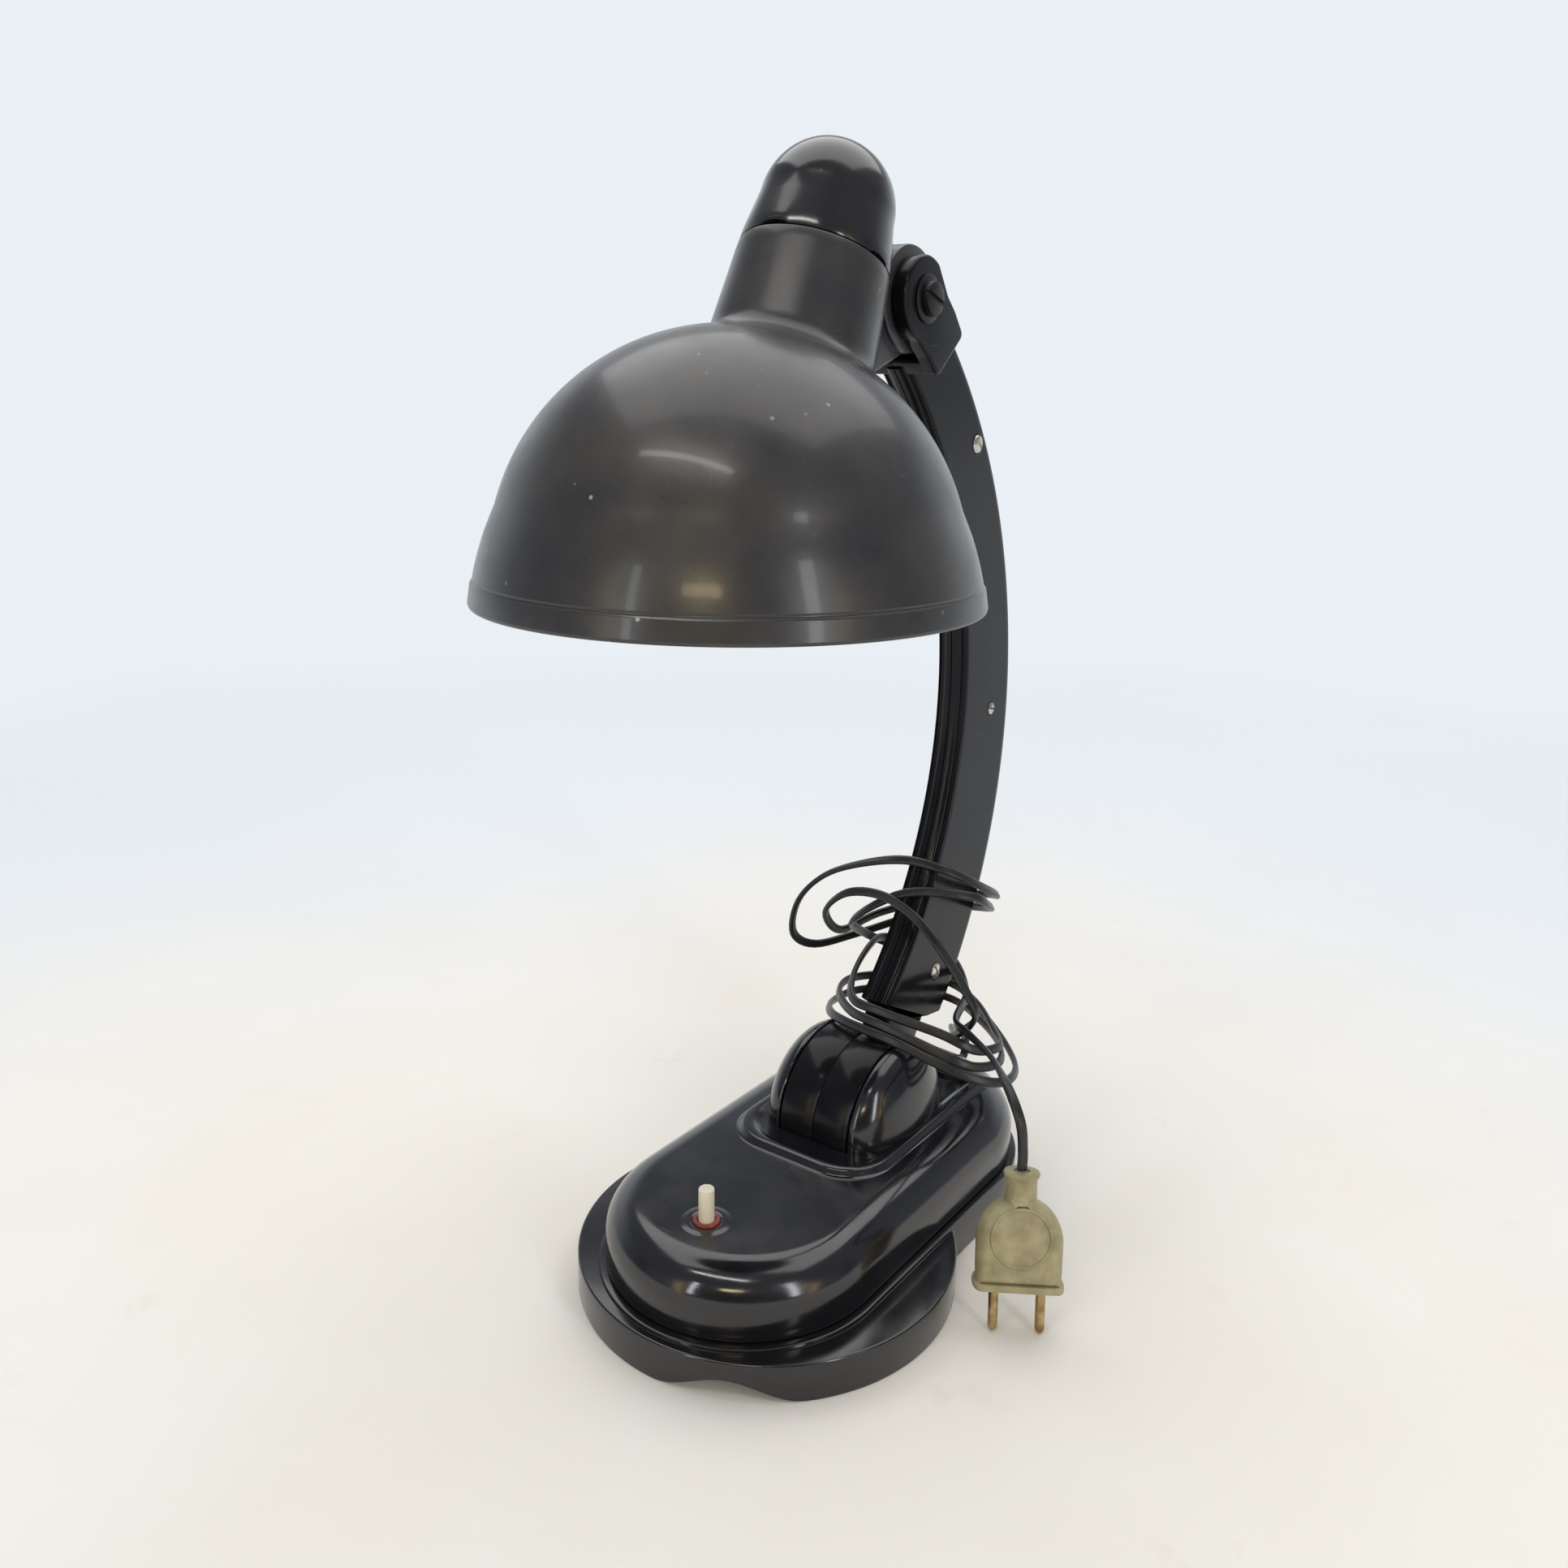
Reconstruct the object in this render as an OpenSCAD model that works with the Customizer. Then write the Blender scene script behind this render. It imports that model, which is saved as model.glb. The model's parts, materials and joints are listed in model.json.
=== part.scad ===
// Desk lamp in moulded phenolic: a long rounded base, a curved two-part arm that tilts on a
// large knuckle, and a bell shade that tilts in a fork at the arm's end.
// Frame: origin on the table under the centre of the round foot, Z up, lamp faces -Y.

/* [Foot] */
// diameter of the round foot
foot_d = 162; // [130:1:200]
// height of the round foot
foot_h = 17; // [12:0.5:26]
// width of the long plinth through the foot
plinth_w = 124; // [100:1:150]
// height of the plinth
plinth_h = 18.5; // [14:0.5:30]
// centre of the plinth's front round, in front of the foot's centre
front_y = 15; // [5:1:30]
// centre of the plinth's rear round, behind the foot's centre
rear_y = 98; // [80:1:130]
// wall thickness of the foot
foot_wall = 5; // [3:0.5:8]
// width of the finger arch in the foot's edge
arch_w = 54; // [30:1:70]
// height of the finger arch
arch_h = 8.4; // [4:0.2:12]
// direction of the finger arch, turned from the +X axis
arch_turn = -65; // [-90:1:-20]

/* [Housing] */
// width of the housing at its foot
housing_w = 118; // [90:1:140]
// height of the housing's flat top above the table
housing_top = 47; // [38:0.5:60]
// rounding of the housing's upper edge
housing_round = 16; // [8:0.5:20]
// wall thickness of the housing
housing_wall = 4; // [3:0.5:6]
// height of the raised deck around the knuckle
deck_h = 3; // [1:0.5:5]
// half width of the raised deck
deck_half = 38; // [34:0.5:46]
// front edge of the raised deck, behind the foot's centre
deck_front = 14; // [8:0.5:24]
// rear edge of the raised deck
deck_rear = 123; // [112:0.5:135]

/* [Knuckle] */
// knuckle axis behind the foot's centre
hinge_y = 67.5; // [55:0.5:80]
// knuckle axis above the table
hinge_z = 49; // [44:0.5:56]
// radius of the knuckle drum
drum_r = 35.5; // [30:0.5:40]
// width of one half of the drum
drum_half_w = 17.5; // [12:0.5:20]
// gap between the drum and each cheek
cheek_gap = 0.9; // [0.6:0.1:1.5]
// how far each cheek bulges to the side
cheek_w = 17; // [12:0.5:22]
// radius of the cheek's rounding
cheek_round = 31; // [26:0.5:36]
// radius of the steel knuckle pin
pin_r = 4; // [3:0.1:6]
// running gap round a pin
run_gap = 0.06; // [0.02:0.01:0.1]

/* [Arm] */
// half thickness of the arm's blade
blade_half = 7.5; // [5:0.5:10]
// radius of the arm's front edge
arm_front_r = 192; // [170:1:220]
// radius of the arm's back edge
arm_back_r = 228.5; // [200:0.5:260]
// centre of the front edge, from the foot's centre
arm_front_c = [-52.6, 235];
// centre of the back edge, from the foot's centre
arm_back_c = [-45, 220];
// centre of the rounded lower end
arm_end_c = [127, 149];
// radius of the rounded lower end of the blade
arm_end_r = 73; // [60:1:90]
// radius of a side screw's head
screw_head_r = 3.9; // [3:0.1:5]
// radius of a side screw's shank
screw_r = 2; // [1.5:0.1:2.5]
// width of the cable channel in the arm
channel_w = 10; // [6:0.5:14]
// depth of the cable channel in each half
channel_d = 3.5; // [2.5:0.1:5]

/* [Head] */
// head bolt behind the foot's centre
bolt_y = 68; // [50:0.5:90]
// head bolt above the table
bolt_z = 401; // [350:0.5:450]
// lean of the arm's end from upright
fork_lean = 40; // [20:1:60]
// inner half width of the fork
fork_in = 13; // [10:0.5:16]
// outer half width of the fork
fork_out = 19; // [16:0.5:24]
// radius of the fork's ears round the bolt
ear_r = 16; // [12:0.5:20]
// radius of the shade's barrel between the ears
barrel_r = 20; // [16:0.5:22]
// radius of the head bolt
bolt_r = 3; // [2.5:0.1:4]

/* [Shade] */
// diameter of the rim
rim_d = 182; // [160:1:220]
// height of the rim band
rim_h = 8.5; // [5:0.5:14]
// diameter of the bell above the rim band
bell_d = 177; // [150:1:210]
// height of the bell above the rim
bell_h = 94; // [75:1:115]
// radius of the bell's round top
dome_r = 84; // [70:1:100]
// wall thickness of the shade
shade_wall = 3; // [2:0.2:5]
// centre of the rim in front of the foot's centre
shade_y = 29.3; // [10:0.1:50]
// height of the rim above the table
rim_z = 294; // [250:0.5:340]
// lean of the neck backwards
neck_lean = 22.4; // [0:0.2:35]
// radius of the neck where it meets the bell
neck_low_r = 31; // [26:0.5:36]
// radius of the neck at the cap seam
neck_top_r = 28; // [24:0.5:32]
// distance along the neck from the rim's centre to the cap seam
seam_at = 126; // [110:1:140]
// height of the cap
cap_h = 44; // [36:0.5:60]
// radius of the cap's round top
cap_r = 24.5; // [20:0.5:28]

/* [Switch] */
// switch in front of the foot's centre
switch_y = 42; // [30:1:50]
// radius of the push button
button_r = 3.2; // [2.5:0.1:5]
// height of the button above the housing
button_up = 15; // [8:0.5:18]
// travel of the button
button_travel = 3; // [2:0.5:5]

/* [Cord] */
// thickness of the mains cord
cord_d = 3.6; // [3:0.2:6]
// gap from the foot's rim to the plug's middle, on +X
plug_gap = 24; // [20:1:60]
// how far back from the foot's centre the plug stands
plug_y = 28; // [0:1:60]
// turn of the plug about the upright
plug_turn = 32; // [0:1:90]
// lean of the plug, with its top away from the front
plug_lean = 14; // [0:1:20]
// length of the plug pins
plug_pin_l = 19; // [18:0.5:20]
// radius of the plug pins
plug_pin_r = 2; // [1.9:0.1:2.4]
// distance between the plug pins
plug_pitch = 19; // [18:0.5:20]
// length of the plug's body
plug_l = 47.5; // [40:0.5:60]
// width of the plug's body
plug_w = 35; // [28:1:40]
// thickness of the plug's body
plug_t = 15; // [12:0.5:20]

/* [Hidden] */
$fn = 96;
slip = 0.1;
eps = 0.01;
seam = 0.05;
lap = 1;

bakelite = [0.03, 0.028, 0.03];
steel = [0.62, 0.62, 0.6];
brass = [0.72, 0.6, 0.32];

foot_r = foot_d / 2;
plinth_r = plinth_w / 2;
housing_r = housing_w / 2;
top_wall = 4;
recess_top = foot_h - top_wall;
window_r = 36;
window_front = hinge_y - 5.5;
window_rear = hinge_y + 24.5;
deck_top = housing_top + deck_h;
cheek_in = drum_half_w + cheek_gap;
cheek_back = 14;
pin_block_w = 13;
pin_block_half = 16;
trough_half = 12;
trough_low = hinge_z - 16;
trough_rear = deck_rear + 3;
cover_t = 1.5;
cover_z = arch_h + 0.8;
cover_gap = 1;
post_r = 4;
post_at = [[-50, -28], [50, -28], [-46, 112], [46, 112]];
cover_screw_r = 1.5;
cover_screw_top = foot_h - 1;
cover_head_t = 1.2;
ballast_h = 6;
ballast_y = -20;
ballast_r = window_front - window_r - 4 - ballast_y;
collar_r = 5.6;
collar_up = 1.2;
boss_r = 10;
boss_h = 0.6;
switch_w = 20;
switch_h = 17;
button_floor = 2;
button_low = housing_top - housing_wall - switch_h + button_floor + button_travel + 1;
gland_r = 5;
gland_z = 27;
gland_in = 10;
gland_out = 7;
gland_boss = 1.5;
gland_end = 2;
rear_wall_y = rear_y + housing_r;
lead_r = 2;
lead_z = 30;
lead_side = 36;
lead_route = [
    [0, rear_wall_y, gland_z],
    [0, rear_wall_y - 16, gland_z],
    [lead_side, hinge_y + 52, lead_z],
    [lead_side, hinge_y - 60, lead_z],
    [switch_w / 2 + lead_r, -switch_y, lead_z]
];
hinge_pin_half = cheek_in + 9;
washer_t = 0.6;
neck_half = 5;
neck_on_drum = [[10, 20], [34, 8]];
neck_on_blade = [[-5, -65], [-15, -49], [-39, -51]];
blade_reach = [40, 230];
blade_low = arm_end_c[1] - 39;
blade_turn = arm_back_c[1] + 80;
fork_dir = 90 + fork_lean;
bar_low = -29;
bar_high = -22;
bar_step = 0.6;
ear_front = -13;
ear_back = 16;
corner_r = 3;
ear_corners = [
    [bar_low + corner_r, ear_front + 2 * corner_r],
    [bar_low + corner_r, ear_back - corner_r]
];
disc_t = 0.8;
barrel_half = fork_in - disc_t - 2 * slip;
arm_mid_c = (arm_front_c + arm_back_c) / 2;
arm_mid_r = (arm_front_r + arm_back_r) / 2;
screw_angles = [-36.7, -1.7, 32.4];
screw_out = [6.5, 5, 10];
counterbore = [1.2, 3, 1.2];
head_sizes = [1, 0.78, 1];
head_t = 1.6;
nut_t = 0.9;
cable_r = 2.6;
channel_in = 7;
cable_from = -35;
cable_to = 37;
ear_disc_r = ear_r - 3;
head_bolt_head_r = 6.5;
head_bolt_head_t = 3;
head_washer_r = 9;
head_washer_t = 1;
head_nut_r = 7;
head_nut_t = 5;
slot_w = 1.6;
slot_deep = 1.3;
neck_foot_at = 80;
cap_wall = 3;
vent_w = 11;
vent_h = 1.6;
lug_from = 92;
lug_inset = 2;
dome_from = 34;
rim_flare = 1.2;
neck_bore_r = neck_top_r - shade_wall;
ledge_at = 113;
ledge_t = 4;
ledge_w = 3;
bridge_t = 1.5;
e27_r = 13.2;
e27_l = 24;
holder_top_t = 3;
holder_r = 18;
holder_wall = 1.6;
holder_low = 82;
holder_l = 29;
nipple_r = 5;
plug_top = plug_pin_l + plug_l;
plug_flange_t = 2.5;
plug_flange_out = 1.5;
plug_round_z = plug_pin_l + 18;
plug_waist_r = 6;
plug_collar_r = 7;
plug_collar_t = 3;
badge_r = 12;
badge_t = 0.6;
badge_up = 22;
plug_foot = [foot_r + plug_gap, plug_y, plug_pin_r * sin(plug_lean)];
plug_axis = [-sin(plug_turn) * sin(plug_lean), cos(plug_turn) * sin(plug_lean), cos(plug_lean)];
cord_start = plug_foot + plug_top * plug_axis;

// route of the cord from the plug, round the arm's foot, to the gland
cord_route = [
    cord_start, cord_start + 8 * plug_axis, cord_start + [-2.5, 0.5, 21],
    [83, 50, 96], [66, 68, 96], [47, 85, 93],
    [31, 103, 88], [20, 134, 88], [1, 154, 93], [-15, 149, 99], [-24, 128, 107],
    [-22, 112, 109], [-17, 90, 104], [-9, 76, 98], [6, 73, 97], [35, 81, 91], [49, 89, 84],
    [53, 105, 81], [41, 122, 79], [22, 142, 79], [2, 151, 81], [-17, 144, 83], [-30, 124, 86],
    [-32, 106, 89], [-24, 88, 91], [-8, 74, 92], [8, 69, 93], [38, 75, 85], [51, 83, 79],
    [56, 99, 76], [46, 119, 74], [26, 139, 72], [3, 152, 72], [-20, 145, 74], [-36, 125, 76],
    [-37, 103, 78], [-25, 82, 84], [-8, 70, 88], [18, 67, 88], [48, 77, 77], [61, 91, 71],
    [59, 111, 68], [44, 132, 67], [22, 151, 69], [-3, 161, 78], [-24, 150, 92],
    [-37, 132, 104], [-28, 105, 123], [-1, 107, 142], [25, 122, 142], [26, 140, 132],
    [14, 163, 121], [-6, 171, 114], [-28, 157, 107], [-46, 138, 100], [-58, 117, 98],
    [-62, 103, 108], [-59, 103, 126], [-46, 106, 141], [-27, 111, 150], [-6, 115, 155],
    [13, 119, 153], [23, 135, 143], [21, 158, 131], [4, 176, 122], [-20, 167, 116],
    [-38, 145, 111], [-45, 120, 108], [-43, 103, 124], [-30, 101, 137], [-12, 102, 140],
    [6, 101, 135], [22, 98, 125], [36, 96, 111], [45, 95, 97], [28, 110, 77], [12, 136, 65],
    [3, 158, 53], [0, 174, 42], [0, 175, 31], [0, 164, 27]
];

// flat outlines ---------------------------------------------------------------------------

// long outline with a round at each end
module long_shape(r, front = -front_y, rear = rear_y) {
    translate([0, front]) circle(r);
    translate([0, rear]) circle(r);
    translate([-r, front]) square([2 * r, rear - front]);
}

// foot outline: the round foot with the plinth through it
module foot_shape(inset = 0) {
    circle(foot_r - inset);
    long_shape(plinth_r - inset);
}

// half section of the rounded housing, from its centre out to radius r
module loaf_half(r, top, low, round_r) {
    translate([0, low]) square([r, top - round_r - low]);
    translate([0, low]) square([r - round_r, top - low]);
    intersection() {
        translate([r - round_r, top - round_r]) circle(round_r);
        translate([0, low]) square([r, top - low]);
    }
}

// rounded long block
module loaf(r, top, low, round_r) {
    translate([0, -front_y, 0]) rotate([0, 0, 180])
        rotate_extrude(angle = 180) loaf_half(r, top, low, round_r);
    translate([0, rear_y, 0])
        rotate_extrude(angle = 180) loaf_half(r, top, low, round_r);
    translate([0, rear_y, 0]) rotate([90, 0, 0]) linear_extrude(rear_y + front_y) {
        loaf_half(r, top, low, round_r);
        mirror([1, 0]) loaf_half(r, top, low, round_r);
    }
}

// along the knuckle's axis, starting at x
module on_hinge(x) {
    translate([x, hinge_y, hinge_z]) rotate([0, 90, 0]) children();
}

// along the head bolt, starting at x
module on_bolt(x) {
    translate([x, bolt_y, bolt_z]) rotate([0, 90, 0]) children();
}

// flat outline in the lamp's side view, made t thick from x
module side_plate(x, t) {
    translate([x, 0, 0]) rotate([90, 0, 90]) linear_extrude(t) children();
}

// base ------------------------------------------------------------------------------------

module foot() {
    color(bakelite) difference() {
        union() {
            cylinder(h = foot_h, r = foot_r);
            linear_extrude(plinth_h) long_shape(plinth_r);
        }
        difference() {
            translate([0, 0, -1]) linear_extrude(recess_top + 1) foot_shape(foot_wall);
            for (p = post_at) translate([p[0], p[1], cover_z + cover_t + slip])
                cylinder(h = foot_h, r = post_r);
        }
        translate([0, 0, -1]) linear_extrude(30) long_shape(window_r, window_front, window_rear);
        for (p = post_at) translate([p[0], p[1], 0])
            cylinder(h = cover_screw_top + slip, r = cover_screw_r + slip / 2);
        arch();
    }
}

// finger arch through the foot's front edge
module arch() {
    arch_r = (arch_w * arch_w / 4 + arch_h * arch_h) / (2 * arch_h);
    rotate([0, 0, arch_turn]) translate([foot_r - 3 * foot_wall, 0, arch_h - arch_r])
        rotate([0, 90, 0]) cylinder(h = 4 * foot_wall, r = arch_r);
}

// dome that closes one side of the knuckle
module cheek() {
    on_hinge(0) rotate_extrude() intersection() {
        translate([drum_r - sqrt(pow(cheek_round, 2) - pow(cheek_back, 2)), cheek_in - cheek_back])
            circle(cheek_round);
        translate([0, cheek_in - lap]) square([drum_r + cheek_gap, cheek_w + lap]);
    }
}

// raised deck outline: round front corners, square rear corners
module deck_shape(inset = 0) {
    corner = 22 - inset;
    half = deck_half - inset;
    front = deck_front + inset;
    rear = deck_rear - inset;
    for (s = [-1, 1]) translate([s * (half - corner), front + corner]) circle(corner);
    translate([-(half - corner), front]) square([2 * (half - corner), rear - front]);
    translate([-half, front + corner]) square([2 * half, rear - front - corner]);
}

module housing() {
    color(bakelite) difference() {
        union() {
            loaf(housing_r, housing_top, plinth_h, housing_round);
            translate([0, 0, housing_top - 1]) linear_extrude(deck_h + 1) deck_shape();
            cheek();
            mirror([1, 0, 0]) cheek();
            translate([0, -switch_y, housing_top - 1]) cylinder(h = 1 + boss_h, r = boss_r);
            on_rear(rear_wall_y - housing_wall) cylinder(h = housing_wall + gland_boss, r = gland_r + 3);
        }
        difference() {
            loaf(housing_r - housing_wall, housing_top - housing_wall, plinth_h - lap,
                housing_round - housing_wall);
            for (s = [-1, 1]) translate([s * (cheek_in - lap + pin_block_w / 2), hinge_y, hinge_z / 2])
                cube([pin_block_w, 2 * pin_block_half, hinge_z], center = true);
        }
        on_hinge(-cheek_in) cylinder(h = 2 * cheek_in, r = drum_r + cheek_gap);
        on_hinge(-hinge_pin_half - 1) cylinder(h = 2 * hinge_pin_half + 2, r = pin_r + run_gap);
        trough();
        translate([0, -switch_y, 0]) cylinder(h = 60, r = collar_r + slip);
        on_rear(rear_wall_y - 2 * gland_in) cylinder(h = 3 * gland_in, r = gland_r + slip);
    }
}

// sloping trough behind the knuckle, so the arm's foot can swing back
module trough() {
    side_plate(-trough_half, 2 * trough_half) polygon([
        [hinge_y, deck_top + 10],
        [hinge_y, trough_low],
        [hinge_y + drum_r + 1, trough_low],
        [trough_rear, housing_top - 1],
        [trough_rear, deck_top + 10]
    ]);
}

module ballast() {
    color([0.2, 0.2, 0.2]) translate([0, ballast_y, plinth_h + slip]) cylinder(h = ballast_h, r = ballast_r);
}

module cover() {
    color([0.12, 0.2, 0.14]) difference() {
        translate([0, 0, cover_z]) linear_extrude(cover_t) foot_shape(foot_wall + cover_gap);
        for (p = post_at) translate([p[0], p[1], 0]) cylinder(h = foot_h, r = cover_screw_r + slip);
    }
}

module cover_screws() {
    color(steel) for (p = post_at) translate([p[0], p[1], 0]) {
        translate([0, 0, cover_z - cover_head_t]) cylinder(h = cover_head_t, r = cover_screw_r * 2);
        translate([0, 0, cover_z - cover_head_t / 2])
            cylinder(h = cover_screw_top - cover_z + cover_head_t / 2, r = cover_screw_r);
    }
}

module switch_body() {
    under = housing_top - housing_wall - slip;
    color([0.75, 0.72, 0.64]) difference() {
        translate([-switch_w / 2, -switch_y - switch_w / 2, under - switch_h])
            cube([switch_w, switch_w, switch_h]);
        translate([0, -switch_y, under - switch_h + button_floor])
            cylinder(h = switch_h, r = button_r + slip);
        translate([0, -switch_y, under - 3]) cylinder(h = 4, r = collar_r + slip);
    }
}

module switch_collar() {
    color([0.45, 0.1, 0.07]) translate([0, -switch_y, housing_top - housing_wall - 2.9]) difference() {
        cylinder(h = housing_wall + 2.9 + collar_up, r = collar_r);
        translate([0, 0, -1]) cylinder(h = 20, r = button_r + slip);
    }
}

module switch_button() {
    color([0.9, 0.86, 0.74]) translate([0, -switch_y, button_low])
        cylinder(h = housing_top + button_up - button_low, r = button_r);
}

module hinge_pin() {
    color(steel) on_hinge(-hinge_pin_half) cylinder(h = 2 * hinge_pin_half, r = pin_r);
}

module hinge_washers() {
    color(steel) for (s = [-1, 1])
        on_hinge(s * (drum_half_w + cheek_gap / 2) - washer_t / 2) difference() {
            cylinder(h = washer_t, r = pin_r * 3);
            translate([0, 0, -1]) cylinder(h = 3, r = pin_r + slip);
        }
}

// along the rear wall's cord hole, starting at y
module on_rear(y) {
    translate([0, y, gland_z]) rotate([-90, 0, 0]) children();
}

module cord_gland() {
    collar_at = gland_in + gland_boss + slip;
    color([0.05, 0.05, 0.05]) on_rear(rear_wall_y - gland_in) difference() {
        union() {
            cylinder(h = gland_in + gland_out, r = gland_r);
            translate([0, 0, collar_at]) cylinder(h = gland_in + gland_out - collar_at, r = gland_r + 2);
        }
        translate([0, 0, -1]) cylinder(h = 1 + gland_in + gland_out - gland_end, r = lead_r + slip);
    }
}

// lead from the gland to the switch, inside the housing
module lead_inside() {
    color([0.08, 0.08, 0.08]) tube(lead_route, lead_r, 8);
}

// arm -------------------------------------------------------------------------------------

// place in the fork: along = up the arm's end from the bolt, across = to the back
function fork_point(along, across) = [
    bolt_y + along * cos(fork_dir) + across * sin(fork_dir),
    bolt_z + along * sin(fork_dir) - across * cos(fork_dir)
];

// side view of the blade: between two arcs, with a round lower end
module blade_shape() {
    intersection() {
        difference() {
            translate(arm_back_c) circle(arm_back_r, $fn = 360);
            translate(arm_front_c) circle(arm_front_r, $fn = 360);
        }
        union() {
            translate(arm_end_c) circle(arm_end_r);
            polygon([
                [blade_reach[0], blade_low],
                [blade_reach[1], blade_low],
                [blade_reach[1], blade_turn],
                fork_point(bar_low + 4, 60),
                fork_point(bar_low + 4, -60),
                [blade_reach[0], blade_turn]
            ]);
        }
    }
}

// side view of the neck that joins the drum to the blade
module neck_shape() {
    hinge_at = [hinge_y, hinge_z];
    polygon([
        for (p = neck_on_drum) hinge_at + p,
        for (p = neck_on_blade) arm_end_c + p
    ]);
}

// side view of one fork ear: round over the bolt, square at its foot
module ear_shape() {
    translate([bolt_y, bolt_z]) circle(ear_r);
    for (p = ear_corners) translate(fork_point(p[0], p[1])) circle(corner_r);
    polygon([
        fork_point(bar_low, ear_front + 2 * corner_r),
        fork_point(bar_low, ear_back - corner_r),
        fork_point(bar_low + corner_r, ear_back),
        fork_point(-ear_r, ear_back),
        fork_point(ear_r / 2, ear_r * 0.86),
        fork_point(0, 0),
        fork_point(-ear_r / 2, -ear_r * 0.86),
        fork_point(bar_low + corner_r, ear_front + corner_r)
    ]);
}

// side view of the bar across the fork's foot
module bar_shape() {
    polygon([
        fork_point(bar_low + bar_step, ear_front + corner_r + 5),
        fork_point(bar_low + bar_step, ear_back - corner_r - 1),
        fork_point(bar_high, ear_back - 1),
        fork_point(bar_high, ear_front + corner_r + 2)
    ]);
}

function screw_point(i) =
    arm_mid_c + (arm_mid_r + screw_out[i]) * [cos(screw_angles[i]), sin(screw_angles[i])];

// one half of the arm on the +X side
module arm_half() {
    difference() {
        union() {
            side_plate(seam, blade_half - seam) blade_shape();
            side_plate(seam, neck_half - seam) neck_shape();
            on_hinge(seam) cylinder(h = drum_half_w - seam, r = drum_r);
            side_plate(seam, fork_in - seam + 1) bar_shape();
            side_plate(fork_in, fork_out - fork_in) ear_shape();
        }
        on_hinge(-1) cylinder(h = 40, r = pin_r + run_gap);
        on_bolt(-1) cylinder(h = 40, r = bolt_r + run_gap);
        channel();
        for (i = [0:2]) screw_hole(i);
    }
}

// cable channel cut into the inner face of an arm half
module channel() {
    channel_r = arm_mid_r - channel_in;
    side_plate(-1, channel_d + 1) intersection() {
        difference() {
            translate(arm_mid_c) circle(channel_r + channel_w / 2, $fn = 360);
            translate(arm_mid_c) circle(channel_r - channel_w / 2, $fn = 360);
        }
        polygon([
            arm_mid_c,
            arm_mid_c + 2 * channel_r * [cos(cable_from - 1), sin(cable_from - 1)],
            arm_mid_c + 2 * channel_r * [cos(cable_to + 1), sin(cable_to + 1)]
        ]);
    }
}

module screw_hole(i) {
    p = screw_point(i);
    translate([-1, p[0], p[1]]) rotate([0, 90, 0]) cylinder(h = 20, r = screw_r + slip);
    translate([blade_half - counterbore[i], p[0], p[1]]) rotate([0, 90, 0])
        cylinder(h = 10, r = screw_head_r * head_sizes[i] + 0.3);
}

module arm_left() {
    color(bakelite) mirror([1, 0, 0]) arm_half();
}

module arm_right() {
    color(bakelite) arm_half();
}

module arm_screws() {
    color(steel) for (i = [0:2]) {
        p = screw_point(i);
        seat = blade_half - counterbore[i] + slip;
        translate([0, p[0], p[1]]) rotate([0, 90, 0]) {
            difference() {
                translate([0, 0, seat]) cylinder(h = head_t, r = screw_head_r * head_sizes[i]);
                translate([-10, -0.5, seat + head_t - 0.8]) cube([20, 1, 2]);
            }
            translate([0, 0, -blade_half + 0.4]) cylinder(h = seat + blade_half - 0.4 + eps, r = screw_r);
        }
    }
}

module arm_nuts() {
    color(steel) for (i = [0:2]) {
        p = screw_point(i);
        seat = -blade_half + counterbore[i] - slip;
        translate([seat - nut_t, p[0], p[1]]) rotate([0, 90, 0]) difference() {
            cylinder(h = nut_t, r = screw_head_r * head_sizes[i], $fn = 6);
            translate([0, 0, -1]) cylinder(h = 10, r = screw_r + slip);
        }
    }
}

// cable inside the arm, from its foot to the fork
module arm_cable() {
    color([0.35, 0.3, 0.2]) translate([0, arm_mid_c[0], arm_mid_c[1]]) rotate([90, 0, 90])
        rotate([0, 0, cable_from]) rotate_extrude(angle = cable_to - cable_from)
            translate([arm_mid_r - channel_in, 0]) circle(cable_r);
}

// head ------------------------------------------------------------------------------------

module head_bolt() {
    head_at = fork_out + head_washer_t + slip;
    color([0.1, 0.1, 0.1]) on_bolt(0) {
        translate([0, 0, head_at]) difference() {
            cylinder(h = head_bolt_head_t, r = head_bolt_head_r);
            translate([-head_bolt_head_r, -slot_w / 2, head_bolt_head_t - slot_deep])
                cube([2 * head_bolt_head_r, slot_w, head_bolt_head_t]);
        }
        translate([0, 0, -fork_out - head_nut_t])
            cylinder(h = fork_out + head_nut_t + head_at + lap, r = bolt_r);
    }
}

module head_nut() {
    color(steel) on_bolt(-fork_out - head_nut_t - slip) difference() {
        cylinder(h = head_nut_t, r = head_nut_r, $fn = 6);
        translate([0, 0, -1]) cylinder(h = 10, r = bolt_r + slip);
    }
}

module head_washer() {
    color([0.1, 0.1, 0.1]) on_bolt(fork_out + slip / 2) difference() {
        cylinder(h = head_washer_t, r = head_washer_r);
        translate([0, 0, -1]) cylinder(h = 4, r = bolt_r + slip);
    }
}

module fork_discs() {
    color([0.3, 0.22, 0.14]) for (s = [-1, 1])
        on_bolt(s * (fork_in - slip - disc_t / 2) - disc_t / 2) difference() {
            cylinder(h = disc_t, r = ear_disc_r);
            translate([0, 0, -1]) cylinder(h = 4, r = bolt_r + slip);
        }
}

// along the leaning neck, from the rim's centre
module on_neck(along) {
    translate([0, -shade_y, rim_z]) rotate([-neck_lean, 0, 0]) translate([0, 0, along]) children();
}

// half width of the bell where its round top begins
function dome_side(inset) = sqrt(pow(dome_r - inset, 2) - pow(dome_from - bell_h + dome_r, 2));

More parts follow.
